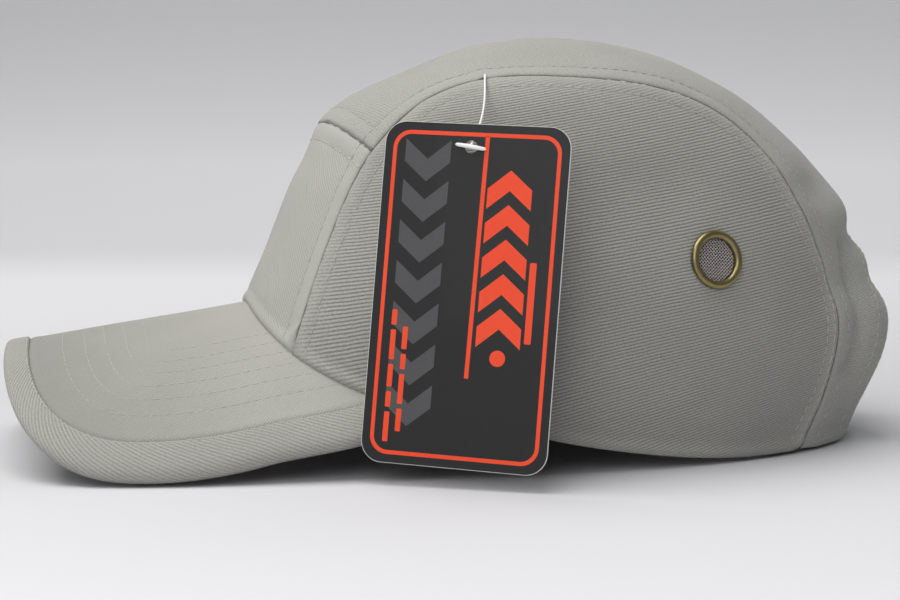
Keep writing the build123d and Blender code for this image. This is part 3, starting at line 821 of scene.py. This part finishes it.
def top_panel():
    """The long middle panel, from the front seam over the crown and down both sides of the arch."""
    rows = strip("top_panel", SPLIT_LINE, FRONT_SEAM, TOP_LENGTH, 70, 40)
    columns = len(rows[0])
    points = [point for row in rows for point, _ in row]
    normals = [normal for row in rows for _, normal in row]
    faces = grid_faces(len(rows), columns)
    first = len(points)

    def rear_ray(angle, reach):
        return (reach * cos(angle), RAY_START, ARCH_MIDDLE + reach * sin(angle)), (0, -1, 0)

    def on_leg(angle, reach):
        owner, spot = crown.owner(*rear_ray(angle, reach))
        return owner == "top_panel" and spot.y > 0

    def leg_edge(angle):
        return far_limit(inner_edge(angle) + 0.5 * MM, 2 * MM, lambda reach: on_leg(angle, reach))

    def inner_edge(angle):
        return first_hold(26 * MM, 1 * MM, lambda reach: on_leg(angle, reach))

    def leg_sewn(angle):
        owner, spot = crown.owner(*rear_ray(angle, leg_edge(angle) + 0.5 * MM))
        return owner in CROWN_NODES and spot.y > 0

    corner_x = rows[0][0][0].x
    corner_angle = atan2(TOP_SPLIT - ARCH_MIDDLE, corner_x)
    bottom_angle = limit(
        radians(-35), radians(-50), lambda angle: on_leg(angle, inner_edge(angle) + 0.4 * MM)
    )
    hem_corner = limit(0.0, bottom_angle, leg_sewn)
    hem_angles = 6
    left_angles = list(np.linspace(bottom_angle, hem_corner, hem_angles + 1))[:-1]
    left_angles += list(np.linspace(hem_corner + 0.0002, corner_angle, 44))[:-1]
    over = [atan2(TOP_SPLIT - ARCH_MIDDLE, spot.x) for spot, _ in rows[0]]
    right_angles = [pi - angle for angle in reversed(left_angles)]
    leg_columns = 0
    arch, outer_seam_left, outer_seam_right, hem_lines = [], [], [], [[], []]
    all_angles = left_angles + over + right_angles
    for index, angle in enumerate(all_angles):
        inner = inner_edge(angle)
        if len(left_angles) <= index < len(left_angles) + len(over):
            outer = (TOP_SPLIT - ARCH_MIDDLE) / sin(angle)
        else:
            outer = leg_edge(angle)
        steps = spaced(outer - inner, 10)
        leg_columns = len(steps)
        line = settled([crown.hit(*rear_ray(angle, inner + step)) for step in steps])
        points += [point for point, _ in line]
        normals += [normal for _, normal in line]
        arch.append(line[0][0])
        if index < len(left_angles):
            (outer_seam_left if index >= hem_angles else hem_lines[0]).append(line[-1][0])
        elif index >= len(left_angles) + len(over):
            ends = len(all_angles) - index
            (outer_seam_right if ends > hem_angles else hem_lines[1]).append(line[-1][0])
    faces += grid_faces(len(all_angles), leg_columns, first=first, flip=True)
    seams = [
        [spot for spot, _ in rows[-1]],
        [row[0][0] for row in rows],
        [row[-1][0] for row in rows],
        outer_seam_left,
        outer_seam_right,
    ]
    hems = [arch] + hem_lines
    moved, from_seam, from_hem = drape(points, normals, seams, hems, seed=23)
    uvs = []
    for point in points:
        round_way = atan2(point.z - CROWN_AXIS[1], point.y - CROWN_AXIS[0])
        uvs.append((point.x, 95 * MM * round_way + 0.12 * point.x))
    piece = new_mesh("top_panel_cloth", moved, faces, uvs, flat_and_painted_shade(from_seam, from_hem))
    work = bmesh.new()
    work.from_mesh(piece.data)
    bmesh.ops.remove_doubles(work, verts=work.verts, dist=0.06 * MM)
    work.to_mesh(piece.data)
    work.free()
    outward(piece, HEAD_MIDDLE)
    thicken(piece, CLOTH)
    place(piece, "twill", nodes=["top_panel"], material="top_twill")

    from_sides = distances(points, seams[1:])
    from_front = distances(points, seams[:1])
    from_arch = distances(points, [arch])
    left, right = halves(len(rows), columns, moved, normals, from_sides)
    down, legs, edges = [], [], []
    for column in range(columns):
        span = list(range(column, len(rows) * columns, columns))
        down.append(traced(span[::-1], moved, normals, from_front))
    for index in range(len(all_angles)):
        span = list(range(first + index * leg_columns, first + (index + 1) * leg_columns))
        legs.append(traced(span[::-1], moved, normals, from_sides))
        edges.append(traced(span, moved, normals, from_arch))
    side_count = len(left_angles)
    left_row = contour(legs[:side_count], SEAM_ROW) + contour(left, SEAM_ROW)
    right_row = contour(legs[-side_count:][::-1], SEAM_ROW) + contour(right, SEAM_ROW)
    return [left_row, right_row, contour(down, SEAM_ROW)] + [contour(edges, row) for row in ARCH_ROWS]


# ---------------------------------------------------------------- visor
visor_top = Skin("visor_top_cover", "visor_binding")
visor_under = Skin("visor_under_cover", "visor_binding")


def visor():
    """Top and under covers, the bound edge and the rows of stitching between the covers."""

    def ray(angle, reach, above):
        height = RAY_START if above else -RAY_START
        origin = (reach * cos(angle), VISOR_MIDDLE - reach * sin(angle), height)
        return origin, (0, 0, -1 if above else 1)

    def owner(angle, reach, above):
        skin = visor_top if above else visor_under
        return skin.owner(*ray(angle, reach, above))[0]

    span = pi - 2 * VISOR_START
    angles = [VISOR_START + span * step / (VISOR_COLUMNS - 1) for step in range(VISOR_COLUMNS)]
    stitched = []
    sections = [[] for _ in angles]
    for above, cover in ((True, "visor_top_cover"), (False, "visor_under_cover")):
        skin = visor_top if above else visor_under
        points, normals, bound, columns = [], [], [], 0
        for index, angle in enumerate(angles):
            outer = first_hold(170 * MM, -1 * MM, lambda reach: owner(angle, reach, above) is not None)
            seam = first_hold(
                outer - 0.3 * MM, -0.5 * MM, lambda reach: owner(angle, reach, above) == cover
            )
            inner = far_limit(seam, -1 * MM, lambda reach: owner(angle, reach, above) == cover)
            steps = spaced(seam - inner, 26, both=False)
            line = [skin.hit(*ray(angle, seam - step, above)) for step in steps]
            columns = len(line)
            points += [point for point, _ in line]
            normals += [normal for _, normal in line]
            bound.append(line[0][0])
            band = []
            for share in (0.0, 0.04, 0.12, 0.28, 0.5, 0.72, 0.88, 0.97):
                reach = seam + 0.05 * MM + (outer - seam - 0.1 * MM) * share
                band.append(skin.hit(*ray(angle, reach, above)))
            sections[index].append(band)
        near = distances(points, [bound])
        moved = []
        for point, normal, far in zip(points, normals, near / MM):
            lift = bells(far, VISOR_SHAPE)
            lift += 0.14 * waves(point, 22 * MM, 31)
            for row in VISOR_ROWS:
                lift -= 0.07 * bell(far, row / MM, 0.7)
            moved.append(point + normal * lift * MM)
        uvs = [(point.x, point.y + 0.25 * point.x) for point in points]
        # Painted shade: both covers darken towards the nose, standing in for the light falling off there.
        shade = [0.32 * max(0.0, min(1.0, (-point.y / MM - 92) / 62)) for point in points]
        numbers = {"flat": [0.25] * len(points), "shade": shade}
        piece = new_mesh(f"{cover}_cloth", moved, grid_faces(VISOR_COLUMNS, columns), uvs, numbers)
        outward(piece, (0, -90 * MM, -200 * MM if above else 300 * MM))
        thicken(piece, VISOR_CLOTH)
        slot, material = ("twill", "visor_twill") if above else ("twill_under", "twill_under")
        place(piece, slot, nodes=[cover], material=material)
        lines = []
        for index in range(VISOR_COLUMNS):
            span = range(index * columns, (index + 1) * columns)
            lines.append(traced(span, moved, normals, near))
        stitched += [contour(lines, row) for row in VISOR_ROWS]

    points, uvs, ring = [], [], 0
    travelled, last = 0.0, None
    edge_row = []
    # How far the binding stands off the CAD, in millimetres, from the covers' edge to the visor's edge.
    profile = (-0.42, 0.05, 0.26, 0.34, 0.36, 0.32, 0.22, 0.05)
    for index, angle in enumerate(angles):
        top, under = sections[index]
        away = Vector((cos(angle), -sin(angle), 0))
        loop = [point + normal * lift * MM for (point, normal), lift in zip(top, profile)]
        high, low = top[-1][0], under[-1][0]
        for share, bulge in ((0.25, 0.75), (0.5, 1.0), (0.75, 0.75)):
            loop.append(high.lerp(low, share) + away * bulge * MM)
        loop += [point + normal * lift * MM for (point, normal), lift in zip(under[::-1], profile[::-1])]
        if last is not None:
            travelled += (high - last).length
        last = high
        points += loop
        uvs += [(travelled, across) for across in run_lengths(loop)]
        ring = len(loop)
        edge_row.append((loop[2].lerp(loop[1], 0.3), top[2][1]))
    tuck = []
    for end, way in ((0, 1), (VISOR_COLUMNS - 1, -1)):
        spots = points[end * ring : (end + 1) * ring]
        middle = sum(spots, Vector()) / ring
        tuck.append([middle.lerp(spot, 0.5) + Vector((-2.4 * way, 3.4, 0.8)) * MM for spot in spots])
    points = tuck[0] + points + tuck[1]
    uvs = uvs[:ring] + uvs + uvs[-ring:]
    faces = tube_faces(VISOR_COLUMNS + 2, ring)
    faces += [face[::-1] for face in end_faces(VISOR_COLUMNS + 2, ring)]
    piece = new_mesh("visor_edge_binding", points, faces, uvs, {"flat": [0.0] * len(points)})
    outward(piece, (0, -90 * MM, 10 * MM))
    place(piece, "binding", nodes=["visor_binding"])
    stitches("visor_stitches", stitched, length=2.7 * MM, width=0.26 * MM)
    stitches("binding_stitches", [edge_row], pitch=2.6 * MM, length=2.0 * MM, width=0.3 * MM)


stitches("side_seam_stitches", side_panel("left", 1) + side_panel("right", -1))
stitches("front_seam_stitches", front_panel())
stitches("top_seam_stitches", top_panel())
visor()


# ---------------------------------------------------------------- eyelet mesh
def tube(path, radius, sides=6):
    """Points and faces of a round tube along a path, closed at both ends."""
    points = []
    for index, spot in enumerate(path):
        ahead = path[min(index + 1, len(path) - 1)]
        behind = path[max(index - 1, 0)]
        turned = (ahead - behind).to_track_quat("Z", "Y")
        for side in range(sides):
            turn = 2 * pi * side / sides
            points.append(spot + turned @ Vector((radius * cos(turn), radius * sin(turn), 0)))
    return points, tube_faces(len(path), sides) + end_faces(len(path), sides)


def joined(name, shapes):
    """One mesh object from several lists of points and faces."""
    points, faces = [], []
    for shape_points, shape_faces in shapes:
        first = len(points)
        points += shape_points
        faces += [[first + index for index in face] for face in shape_faces]
    return new_mesh(name, points, faces)


def ring_frame(node):
    """The middle of a flat round CAD node and its axis, pointing away from the head."""
    mesh = NODES[node].data
    spots = np.array([vertex.co for vertex in mesh.vertices], float)
    middle = spots.mean(axis=0)
    axis = Vector(np.linalg.svd(spots - middle, full_matrices=False)[2][2])
    middle = Vector(middle)
    if axis.dot(middle - HEAD_MIDDLE) < 0:
        axis.negate()
    return middle, axis


WIRE = 0.13 * MM
WIRE_PITCH = 0.72 * MM
MESH_RADIUS = 6.25 * MM
for side_name in ("left", "right"):
    middle, axis = ring_frame(f"eyelet_mesh_{side_name}")
    upright = (Vector((0, 0, 1)) - axis * axis.z).normalized()
    first_way = Matrix.Rotation(radians(38), 3, axis) @ upright
    second_way = axis.cross(first_way)
    wires = []
    count = int(MESH_RADIUS / WIRE_PITCH)
    for along, aside, phase in ((first_way, second_way, 0), (second_way, first_way, 1)):
        for number in range(-count, count + 1):
            offset = number * WIRE_PITCH
            half = sqrt(max(0.0, MESH_RADIUS**2 - offset**2))
            steps = max(4, int(2 * half / (WIRE_PITCH / 4)))
            path = []
            for step in range(steps + 1):
                way = -half + 2 * half * step / steps
                wave = cos(pi * way / WIRE_PITCH + pi * (number + phase))
                path.append(middle + aside * offset + along * way + axis * wave * WIRE)
            wires.append(tube(path, WIRE, sides=5))
    place(joined(f"wire_mesh_{side_name}", wires), "mesh", nodes=[f"eyelet_mesh_{side_name}"])

# ---------------------------------------------------------------- hang tag and fastener
JOINTS = {joint["name"]: joint for joint in frame["joints"]}
tag_out = Vector(JOINTS["tag_turn"]["axis"]).normalized()
tag_across = -Vector(JOINTS["tag_lift"]["axis"]).normalized()
tag_up = tag_out.cross(tag_across)
tag_hole = Vector(JOINTS["tag_turn"]["pos_m"])
HOLE_ON_CARD = (-1.6, 40.6)
tag_origin = tag_hole - (HOLE_ON_CARD[0] * tag_across + HOLE_ON_CARD[1] * tag_up) * MM
card_depths = [(vertex.co - tag_origin).dot(tag_out) for vertex in NODES["hang_tag"].data.vertices]
CARD_BACK, CARD_FRONT = min(card_depths), max(card_depths)
TAG_FRAME = Matrix((tag_across, tag_up, tag_out)).transposed().to_4x4()
TAG_FRAME.translation = tag_origin


def rounded(half_width, half_height, radius, x=0.0, y=0.0):
    """Corners of a rounded rectangle, in millimetres."""
    loop = []
    for across, up, start in ((1, 1, 0), (-1, 1, 90), (-1, -1, 180), (1, -1, 270)):
        for step in range(0, 91, 10):
            turn = radians(start + step)
            corner_x = x + across * (half_width - radius) + radius * cos(turn)
            corner_y = y + up * (half_height - radius) + radius * sin(turn)
            loop.append((corner_x, corner_y))
    return loop


def disc(radius, x, y):
    """Corners of a round disc, in millimetres."""
    turns = [2 * pi * step / 40 for step in range(40)]
    return [(x + radius * cos(turn), y + radius * sin(turn)) for turn in turns]


def printed(name, loops, low, high, material):
    """A flat layer of the card: outlines in millimetres, filled, between two depths in metres."""
    curve = bpy.data.curves.new(name, "CURVE")
    curve.dimensions = "2D"
    curve.fill_mode = "BOTH"
    curve.extrude = (high - low) / 2
    for loop in loops:
        spline = curve.splines.new("POLY")
        spline.points.add(len(loop) - 1)
        for point, (x, y) in zip(spline.points, loop):
            point.co = (x * MM, y * MM, 0, 1)
        spline.use_cyclic_u = True
    drawn = bpy.data.objects.new(name, curve)
    mesh = bpy.data.meshes.new_from_object(drawn)
    bpy.data.objects.remove(drawn)
    mesh.transform(TAG_FRAME @ Matrix.Translation((0, 0, (low + high) / 2)))
    return place(linked(name, mesh), "card", "tag", material=material)


def chevron(x, y, width, rise, thick):
    """A bent bar that points along the tag."""
    half = width / 2
    return [
        (x - half, y), (x, y + rise), (x + half, y),
        (x + half, y - thick), (x, y + rise - thick), (x - half, y - thick),
    ]


SHEET = 0.07 * MM
SUNK = 0.005 * MM
INK = 0.02 * MM
hole = disc(1.8, *HOLE_ON_CARD)
face = rounded(26.2, 46.85, 5.85)
border = [rounded(23.9, 44.6, 5.0), rounded(22.8, 43.5, 4.0)]
divider = [(2.3, 43.8), (3.5, 43.8), (2.7, -22.4), (1.5, -22.4)]
emblem = [chevron(10.2, 29.5 - 9.4 * step, 12.5, 5.2, 5.6) for step in range(5)]
emblem += [rounded(0.95, 11.0, 0.4, 18.4, -1.0), disc(2.2, 10.4, -16.4)]
ghosts = [chevron(-13.8, 36.0 - 11.2 * step, 13.0, -5.4, -6.2) for step in range(7)]
dashes = []
for column, x in enumerate((-19.6, -16.2)):
    y = -5.0 - 4.5 * column
    for step in range(5 - column):
        half_dash = 2.1 + 1.0 * ((step * 2 + column) % 3)
        dashes.append(rounded(0.75, half_dash, 0.3, x, y - half_dash))
        y -= 2 * half_dash + 1.3
top, back = CARD_FRONT + SHEET, CARD_BACK - SHEET
printed("tag_front_sheet", [face, hole], CARD_FRONT + SUNK, top, "black_print")
printed("tag_back_sheet", [face, hole], back, CARD_BACK - SUNK, "black_print")
printed("tag_border", border, top - INK, top + INK, "orange_print")
printed("tag_back_border", border, back - INK, back + INK, "orange_print")
printed("tag_divider", [divider], top - INK, top + INK, "orange_print")
printed("tag_emblem", emblem, top - INK, top + INK, "orange_print")
printed("tag_ghost", ghosts, top - INK, top + 0.5 * INK, "grey_print")
printed("tag_dashes", dashes, top - INK, top + 1.5 * INK, "orange_print")

# The fastener: a root bar inside the seam, a thin filament and a bar across the hole of the tag.
lift_spot = Vector(JOINTS["tag_lift"]["pos_m"])
bar_middle = tag_hole + tag_out * (1.5 * MM)
bow = (tag_out * 0.6 + tag_across * 1.0).normalized()


def swelling(path, radii, sides=12):
    """A closed round rod along a path, with its own radius at each point."""
    points, faces = tube(path, 1.0, sides)
    for index, (spot, radius) in enumerate(zip(path, radii)):
        for side in range(sides):
            item = index * sides + side
            points[item] = spot + (points[item] - spot) * radius
    return points, faces


def t_bar(middle, way, half, radius, droop=0.0):
    """A short moulded bar, thickest in the middle, its ends drooping towards the card."""
    path, radii = [], []
    for step in range(25):
        share = step / 12 - 1
        path.append(middle + way * (half * share) - tag_out * (droop * share**2))
        radii.append(radius * (1 - 0.25 * share**2) * sqrt(max(0.02, 1 - share**14)))
    return swelling(path, radii)


FILAMENT = 0.3 * MM
thread_path, thread_radii = [], []
for step in range(33):
    share = step / 32
    sag = 2.5 * MM * sin(pi * share) * (0.7 + 0.4 * share)
    thread_path.append(lift_spot.lerp(bar_middle, share) + bow * sag)
    thread_radii.append(FILAMENT + bells(share, ((0.1, 1, 0.06), (0.08, 0, 0.05))) * MM)
bar_way = (tag_across * cos(radians(7)) - tag_up * sin(radians(7))).normalized()
rods = [swelling(thread_path, thread_radii), t_bar(bar_middle, bar_way, 4.5 * MM, 0.62 * MM, 0.25 * MM)]
place(joined("nylon_fastener", rods), "nylon", "fastener", ["tag_fastener"])
anchor_low, anchor_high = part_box("tag_anchor")
anchor_middle = (anchor_low + anchor_high) / 2
anchor_middle.z = anchor_low.z + 0.6 * MM
root_path = [anchor_middle.lerp(lift_spot, step / 8) for step in range(9)]
rods = [swelling(root_path, [0.32 * MM] * 9), t_bar(anchor_middle, Vector((0, 1, 0)), 4.4 * MM, 0.58 * MM)]
place(joined("nylon_anchor", rods), "nylon", "cap", ["tag_anchor"])


# ---------------------------------------------------------------- sewn and soft pieces inside
FINE = 0.9 * MM


def resewn(node, slot, body, seed, inset=0.0, ripple=0.25, step=1.6 * MM, puff=None):
    """A soft layer of the CAD made over: cut fine, moved in with the outer cloth, rippled and puffed."""
    work = bmesh.new()
    work.from_mesh(NODES[node].data)
    bmesh.ops.remove_doubles(work, verts=work.verts, dist=0.005 * MM)
    for _ in range(5):
        long = [edge for edge in work.edges if edge.calc_length() > step]
        if not long:
            break
        bmesh.ops.subdivide_edges(work, edges=long, cuts=1)
        bmesh.ops.triangulate(work, faces=[face for face in work.faces if len(face.verts) > 3])
    for vertex in work.verts:
        spot = vertex.co.copy()
        inward = Vector((-spot.x, CROWN_AXIS[0] - spot.y, 0.6 * (45 * MM - spot.z))).normalized()
        depth = inset * MM + rear_folds(spot)
        depth += ripple * MM * (waves(spot, 9 * MM, seed) + 0.4 * waves(spot, 3.5 * MM, seed + 2))
        if puff:
            depth += puff(spot) * MM
        vertex.co = spot + inward * depth
    mesh = bpy.data.meshes.new(f"{node}_cloth")
    work.to_mesh(mesh)
    work.free()
    smoothed(mesh)
    mesh.set_sharp_from_angle(angle=radians(50))
    return place(linked(f"{node}_cloth", mesh), slot, body, [node])


def band_puff(spot):
    """The sweatband swells between its rows of stitching."""
    height = (spot.z - 12 * MM) / (22 * MM)
    return 0.9 * bell(height, 0.1, 0.55) + 0.3 * sin(spot.z / (2.1 * MM)) * bell(height, 0.1, 0.6)


for number, side_name in enumerate(("left", "right")):
    resewn(f"seam_tape_{side_name}", "tape", "cap", 40 + number, inset=0.55, ripple=0.12)
resewn("arch_binding", "tape", "cap", 43, inset=0.55, ripple=0.12)
resewn("hem_tape", "tape", "cap", 44, inset=0.35, ripple=0.12)
resewn("front_buckram", "buckram", "cap", 45, inset=0.5, ripple=0.2)
resewn("sweatband", "sweatband", "cap", 46, inset=0.5, ripple=0.35, puff=band_puff)
resewn("hook_tape", "hook", "strap", 47, ripple=0.04, step=FINE)
resewn("loop_tape", "loop", "cap", 48, ripple=0.06, step=FINE)
resewn("loop_dots", "loop", "cap", 49, ripple=0.08, step=FINE)
resewn("hook_dots", "hook", "insert", 50, ripple=0.04, step=FINE)


def foam_pad(node, seed, channels):
    """A fabric-covered foam pad: rounded, and drawn in along its sewn channels.

    A channel is the axis it is a place on, and that place in millimetres.
    """
    source = NODES[node].data
    faces = [list(face.vertices) for face in source.polygons]
    piece = new_mesh(f"{node}_cover", [vertex.co for vertex in source.vertices], faces)
    remesh = piece.modifiers.new("remesh", "REMESH")
    remesh.mode = "VOXEL"
    remesh.voxel_size = 1.1 * MM
    smooth = piece.modifiers.new("smooth", "SMOOTH")
    smooth.iterations = 9
    smooth.factor = 0.5
    bpy.context.view_layer.update()
    result = piece.evaluated_get(bpy.context.evaluated_depsgraph_get())
    shaped = bpy.data.meshes.new_from_object(result)
    piece.modifiers.clear()
    piece.data = shaped
    spots = [vertex.co.copy() for vertex in shaped.vertices]
    normals = [vertex.normal.copy() for vertex in shaped.vertices]
    crown_middle = Vector((0, *CROWN_AXIS))
    for vertex, spot, normal in zip(shaped.vertices, spots, normals):
        inward = max(0.0, -normal.dot((spot - crown_middle).normalized()))
        lift = 0.18 * waves(spot, 7 * MM, seed) + 0.1 * waves(spot, 2.5 * MM, seed)
        for axis, middle in channels:
            lift -= 2.0 * inward * bell(spot[axis] / MM, middle, 1.5)
        vertex.co = spot + normal * lift * MM
    smoothed(shaped)
    place(piece, "foam", "insert", [node])


foam_pad("crown_pad", 60, [(0, 0.0), (1, 6.0)])
foam_pad("front_pad", 61, [(0, -14.0), (0, 14.0)])
foam_pad("rear_pad", 62, [(0, -11.0), (0, 11.0)])
foam_pad("side_pad_left", 63, [(1, -10.0), (1, 18.0)])
foam_pad("side_pad_right", 64, [(1, -10.0), (1, 18.0)])

# ---------------------------------------------------------------- rear straps
rear_skin = Skin("strap_right", "top_panel", "side_panel_left", "side_panel_right")


STRAP_HEIGHT = 10.75
# Spans of x at the ends of the CAD strap, where the surface is taken from both sides.
REAR_GAPS = ((15.8, 31), (-31, -29.2))


def on_rear(x, z):
    """Where the back of the cap is at x and z in millimetres, and its normal there."""
    for low, high in REAR_GAPS:
        if low < x < high:
            share = (x - low) / (high - low)
            start, start_normal = on_rear(low, z)
            end, end_normal = on_rear(high, z)
            return start.lerp(end, share), start_normal.lerp(end_normal, share).normalized()
    for pull in (0, 0.02, 0.05, 0.1, 0.2, 0.4):
        origin = (x * MM, RAY_START, (z + (STRAP_HEIGHT - z) * pull) * MM)
        owner, spot = rear_skin.owner(origin, (0, -1, 0))
        if owner and spot.y > 60 * MM:
            break
    spot, normal = rear_skin.hit(origin, (0, -1, 0))
    return spot + Vector((0, 0, (z - STRAP_HEIGHT) * pull)) * MM, normal


def strap(node, start_x, end_x, sunk, depth, seed, body):
    """A folded twill strap: a flat tube with rounded edges and end, in millimetres.

    It lies a sunk depth under the back of the cap, and a depth more under the arch's edge at its root.
    """
    half, corner, thickness = 9.65, 8.0, 1.15
    way = 1 if end_x > start_x else -1
    end_begins = end_x - way * corner
    stations = list(np.linspace(start_x, end_begins, 44))
    stations += [end_x - way * corner * (1 - sin(pi / 2 * turn / 10)) for turn in range(1, 11)]
    count = 30
    rows = []
    for x in stations:
        over = max(0.0, way * (x - end_begins))
        reach = half - corner + sqrt(max(0.01, corner**2 - over**2))
        under = sunk
        if depth:
            under += depth / (1 + exp((way * (x - start_x) - 7.0) / 1.3))
        line = []
        for item in range(count):
            turn = 2 * pi * item / count
            up = abs(cos(turn)) ** 0.55 * (1 if cos(turn) > 0 else -1)
            inset = (1 - abs(up)) * reach
            rim = min(1.0, inset / 0.7)
            outer_face = sin(turn) > 0
            lift = (1 if outer_face else -1) * thickness / 2 * sqrt(max(0.0, 1 - (1 - rim) ** 2))
            spot, normal = on_rear(x, STRAP_HEIGHT + up * reach)
            swell = bells(inset, STRAP_SHAPE) + 0.16 * waves(spot, 8 * MM, seed)
            level = -under - thickness / 2 + lift + (swell if outer_face else 0.0)
            line.append(spot + normal * level * MM)
        rows.append(line)
    travelled = run_lengths([on_rear(x, STRAP_HEIGHT)[0] for x in stations])
    points = [spot for line in rows for spot in line]
    uvs = [(across, along) for line, along in zip(rows, travelled) for across in run_lengths(line)]
    faces = tube_faces(len(rows), count)
    faces += [face[::-1] for face in end_faces(len(rows), count)]
    piece = new_mesh(f"{node}_cloth", points, faces, uvs, {"flat": [0.3] * len(points)})
    outward(piece, sum(points, Vector()) / len(points))
    if body == "cap":
        place(piece, "twill", body, [node], material="binding")
        return
    piece.data.materials.append(MATERIALS["binding"])
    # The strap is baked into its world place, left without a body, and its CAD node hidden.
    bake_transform(piece)
    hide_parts(node)


strap("strap_right", -37.0, 24.0, 0.0, 2.3, 70, "strap")
strap("strap_left", 38.0, -24.0, 2.95, 0.0, 71, "cap")

# ---------------------------------------------------------------- finishes of the CAD nodes that stay
SLOTS = {
    "eyelet_ring": "brass", "eyelet_washer": "brass", "bump_shell": "shell", "rim_trim": "trim",
    "visor_board": "board", "hang_tag": "card",
}
for node, piece in NODES.items():
    for prefix, slot in SLOTS.items():
        if node.startswith(prefix):
            piece.data.materials.clear()
            piece.data.materials.append(MATERIALS[slot])

# ---------------------------------------------------------------- stage, lights and camera
AZIMUTH, ELEVATION = radians(79.5), radians(5.0)
floor_mesh = bpy.data.meshes.new("floor")
work = bmesh.new()
back_way = Vector((-sin(AZIMUTH), cos(AZIMUTH), 0))
side_way = Vector((back_way.y, -back_way.x, 0))
profile = [(-2.0, 0.0), (0.9, 0.0)]
profile += [(0.9 + 0.5 * sin(radians(a)), 0.5 - 0.5 * cos(radians(a))) for a in range(6, 91, 6)]
profile += [(1.4, 2.4)]
last = None
for along, height in profile:
    pair = []
    for side in (-2.6, 2.6):
        pair.append(work.verts.new(back_way * along + side_way * side + Vector((0, 0, height))))
    if last:
        work.faces.new((last[0], last[1], pair[1], pair[0]))
    last = pair
work.to_mesh(floor_mesh)
work.free()
smoothed(floor_mesh)
floor = linked("floor", floor_mesh)
floor_material, floor_tree, floor_shader = new_material("floor", roughness=0.75, specular=0.2)
floor_spot = add(floor_tree, "ShaderNodeTexCoord").outputs["Object"]
floor_back = add(
    floor_tree, "ShaderNodeVectorMath", {0: floor_spot, 1: tuple(back_way)}, operation="DOT_PRODUCT"
).outputs["Value"]
painted_shade_ramp = add(floor_tree, "ShaderNodeValToRGB", {0: maths(floor_tree, "MULTIPLY_ADD", floor_back, 0.5, 0.25)})
# Painted light and shade on the floor and backdrop: lighter and darker grey bands along the way back from the
# camera, darkest up the rising backdrop.
FLOOR_PAINTED_SHADE = [(0.12, 221), (0.29, 200), (0.57, 229), (0.82, 222), (0.9, 195)]
while len(painted_shade_ramp.color_ramp.elements) < len(FLOOR_PAINTED_SHADE):
    painted_shade_ramp.color_ramp.elements.new(0.5)
for element, (where, tone) in zip(painted_shade_ramp.color_ramp.elements, FLOOR_PAINTED_SHADE):
    element.position = where
    element.color = colour(tone, tone, tone + 2)
floor_tree.links.new(painted_shade_ramp.outputs[0], floor_shader.inputs["Base Color"])
floor_mesh.materials.append(floor_material)

world = bpy.data.worlds.new("studio")
bpy.context.scene.world = world
world.use_nodes = True
sky = world.node_tree.nodes["Background"]
sky.inputs["Color"].default_value = (0.93, 0.95, 1.0, 1.0)
sky.inputs["Strength"].default_value = 0.24


LIGHT_TARGET = Vector((0, 0, 0.05))


def softbox(name, spot, size, power, tint=(1.0, 1.0, 1.0)):
    """A rectangular area light that looks at the cap."""
    data = bpy.data.lights.new(name, "AREA")
    data.shape = "RECTANGLE"
    data.size, data.size_y = size
    data.energy = power
    data.color = tint
    light = linked(name, data)
    light.location = spot
    light.rotation_euler = (LIGHT_TARGET - Vector(spot)).to_track_quat("-Z", "Y").to_euler()


softbox("overhead", (0.0, -0.45, 1.25), (1.4, 1.1), 19, (1.0, 0.985, 0.97))
softbox("front", (1.3, -0.7, 0.75), (0.9, 0.9), 7.5, (0.97, 0.985, 1.0))
softbox("back_fill", (-0.9, 0.9, 0.9), (1.0, 1.0), 3)

CAMERA_TARGET = Vector((0, -28 * MM, 43.3 * MM))
CAMERA_DISTANCE = 0.65
camera_back = Vector((sin(AZIMUTH) * cos(ELEVATION), -cos(AZIMUTH) * cos(ELEVATION), sin(ELEVATION)))
camera_data = bpy.data.cameras.new("camera")
camera_data.lens = 82.5
camera_data.sensor_width = 36.0
camera = linked("camera", camera_data)
camera.location = CAMERA_TARGET + camera_back * CAMERA_DISTANCE
camera.rotation_euler = (-camera_back).to_track_quat("-Z", "Y").to_euler()
bpy.context.scene.camera = camera
bpy.context.scene.view_settings.view_transform = "Standard"

bpy.context.view_layer.update()
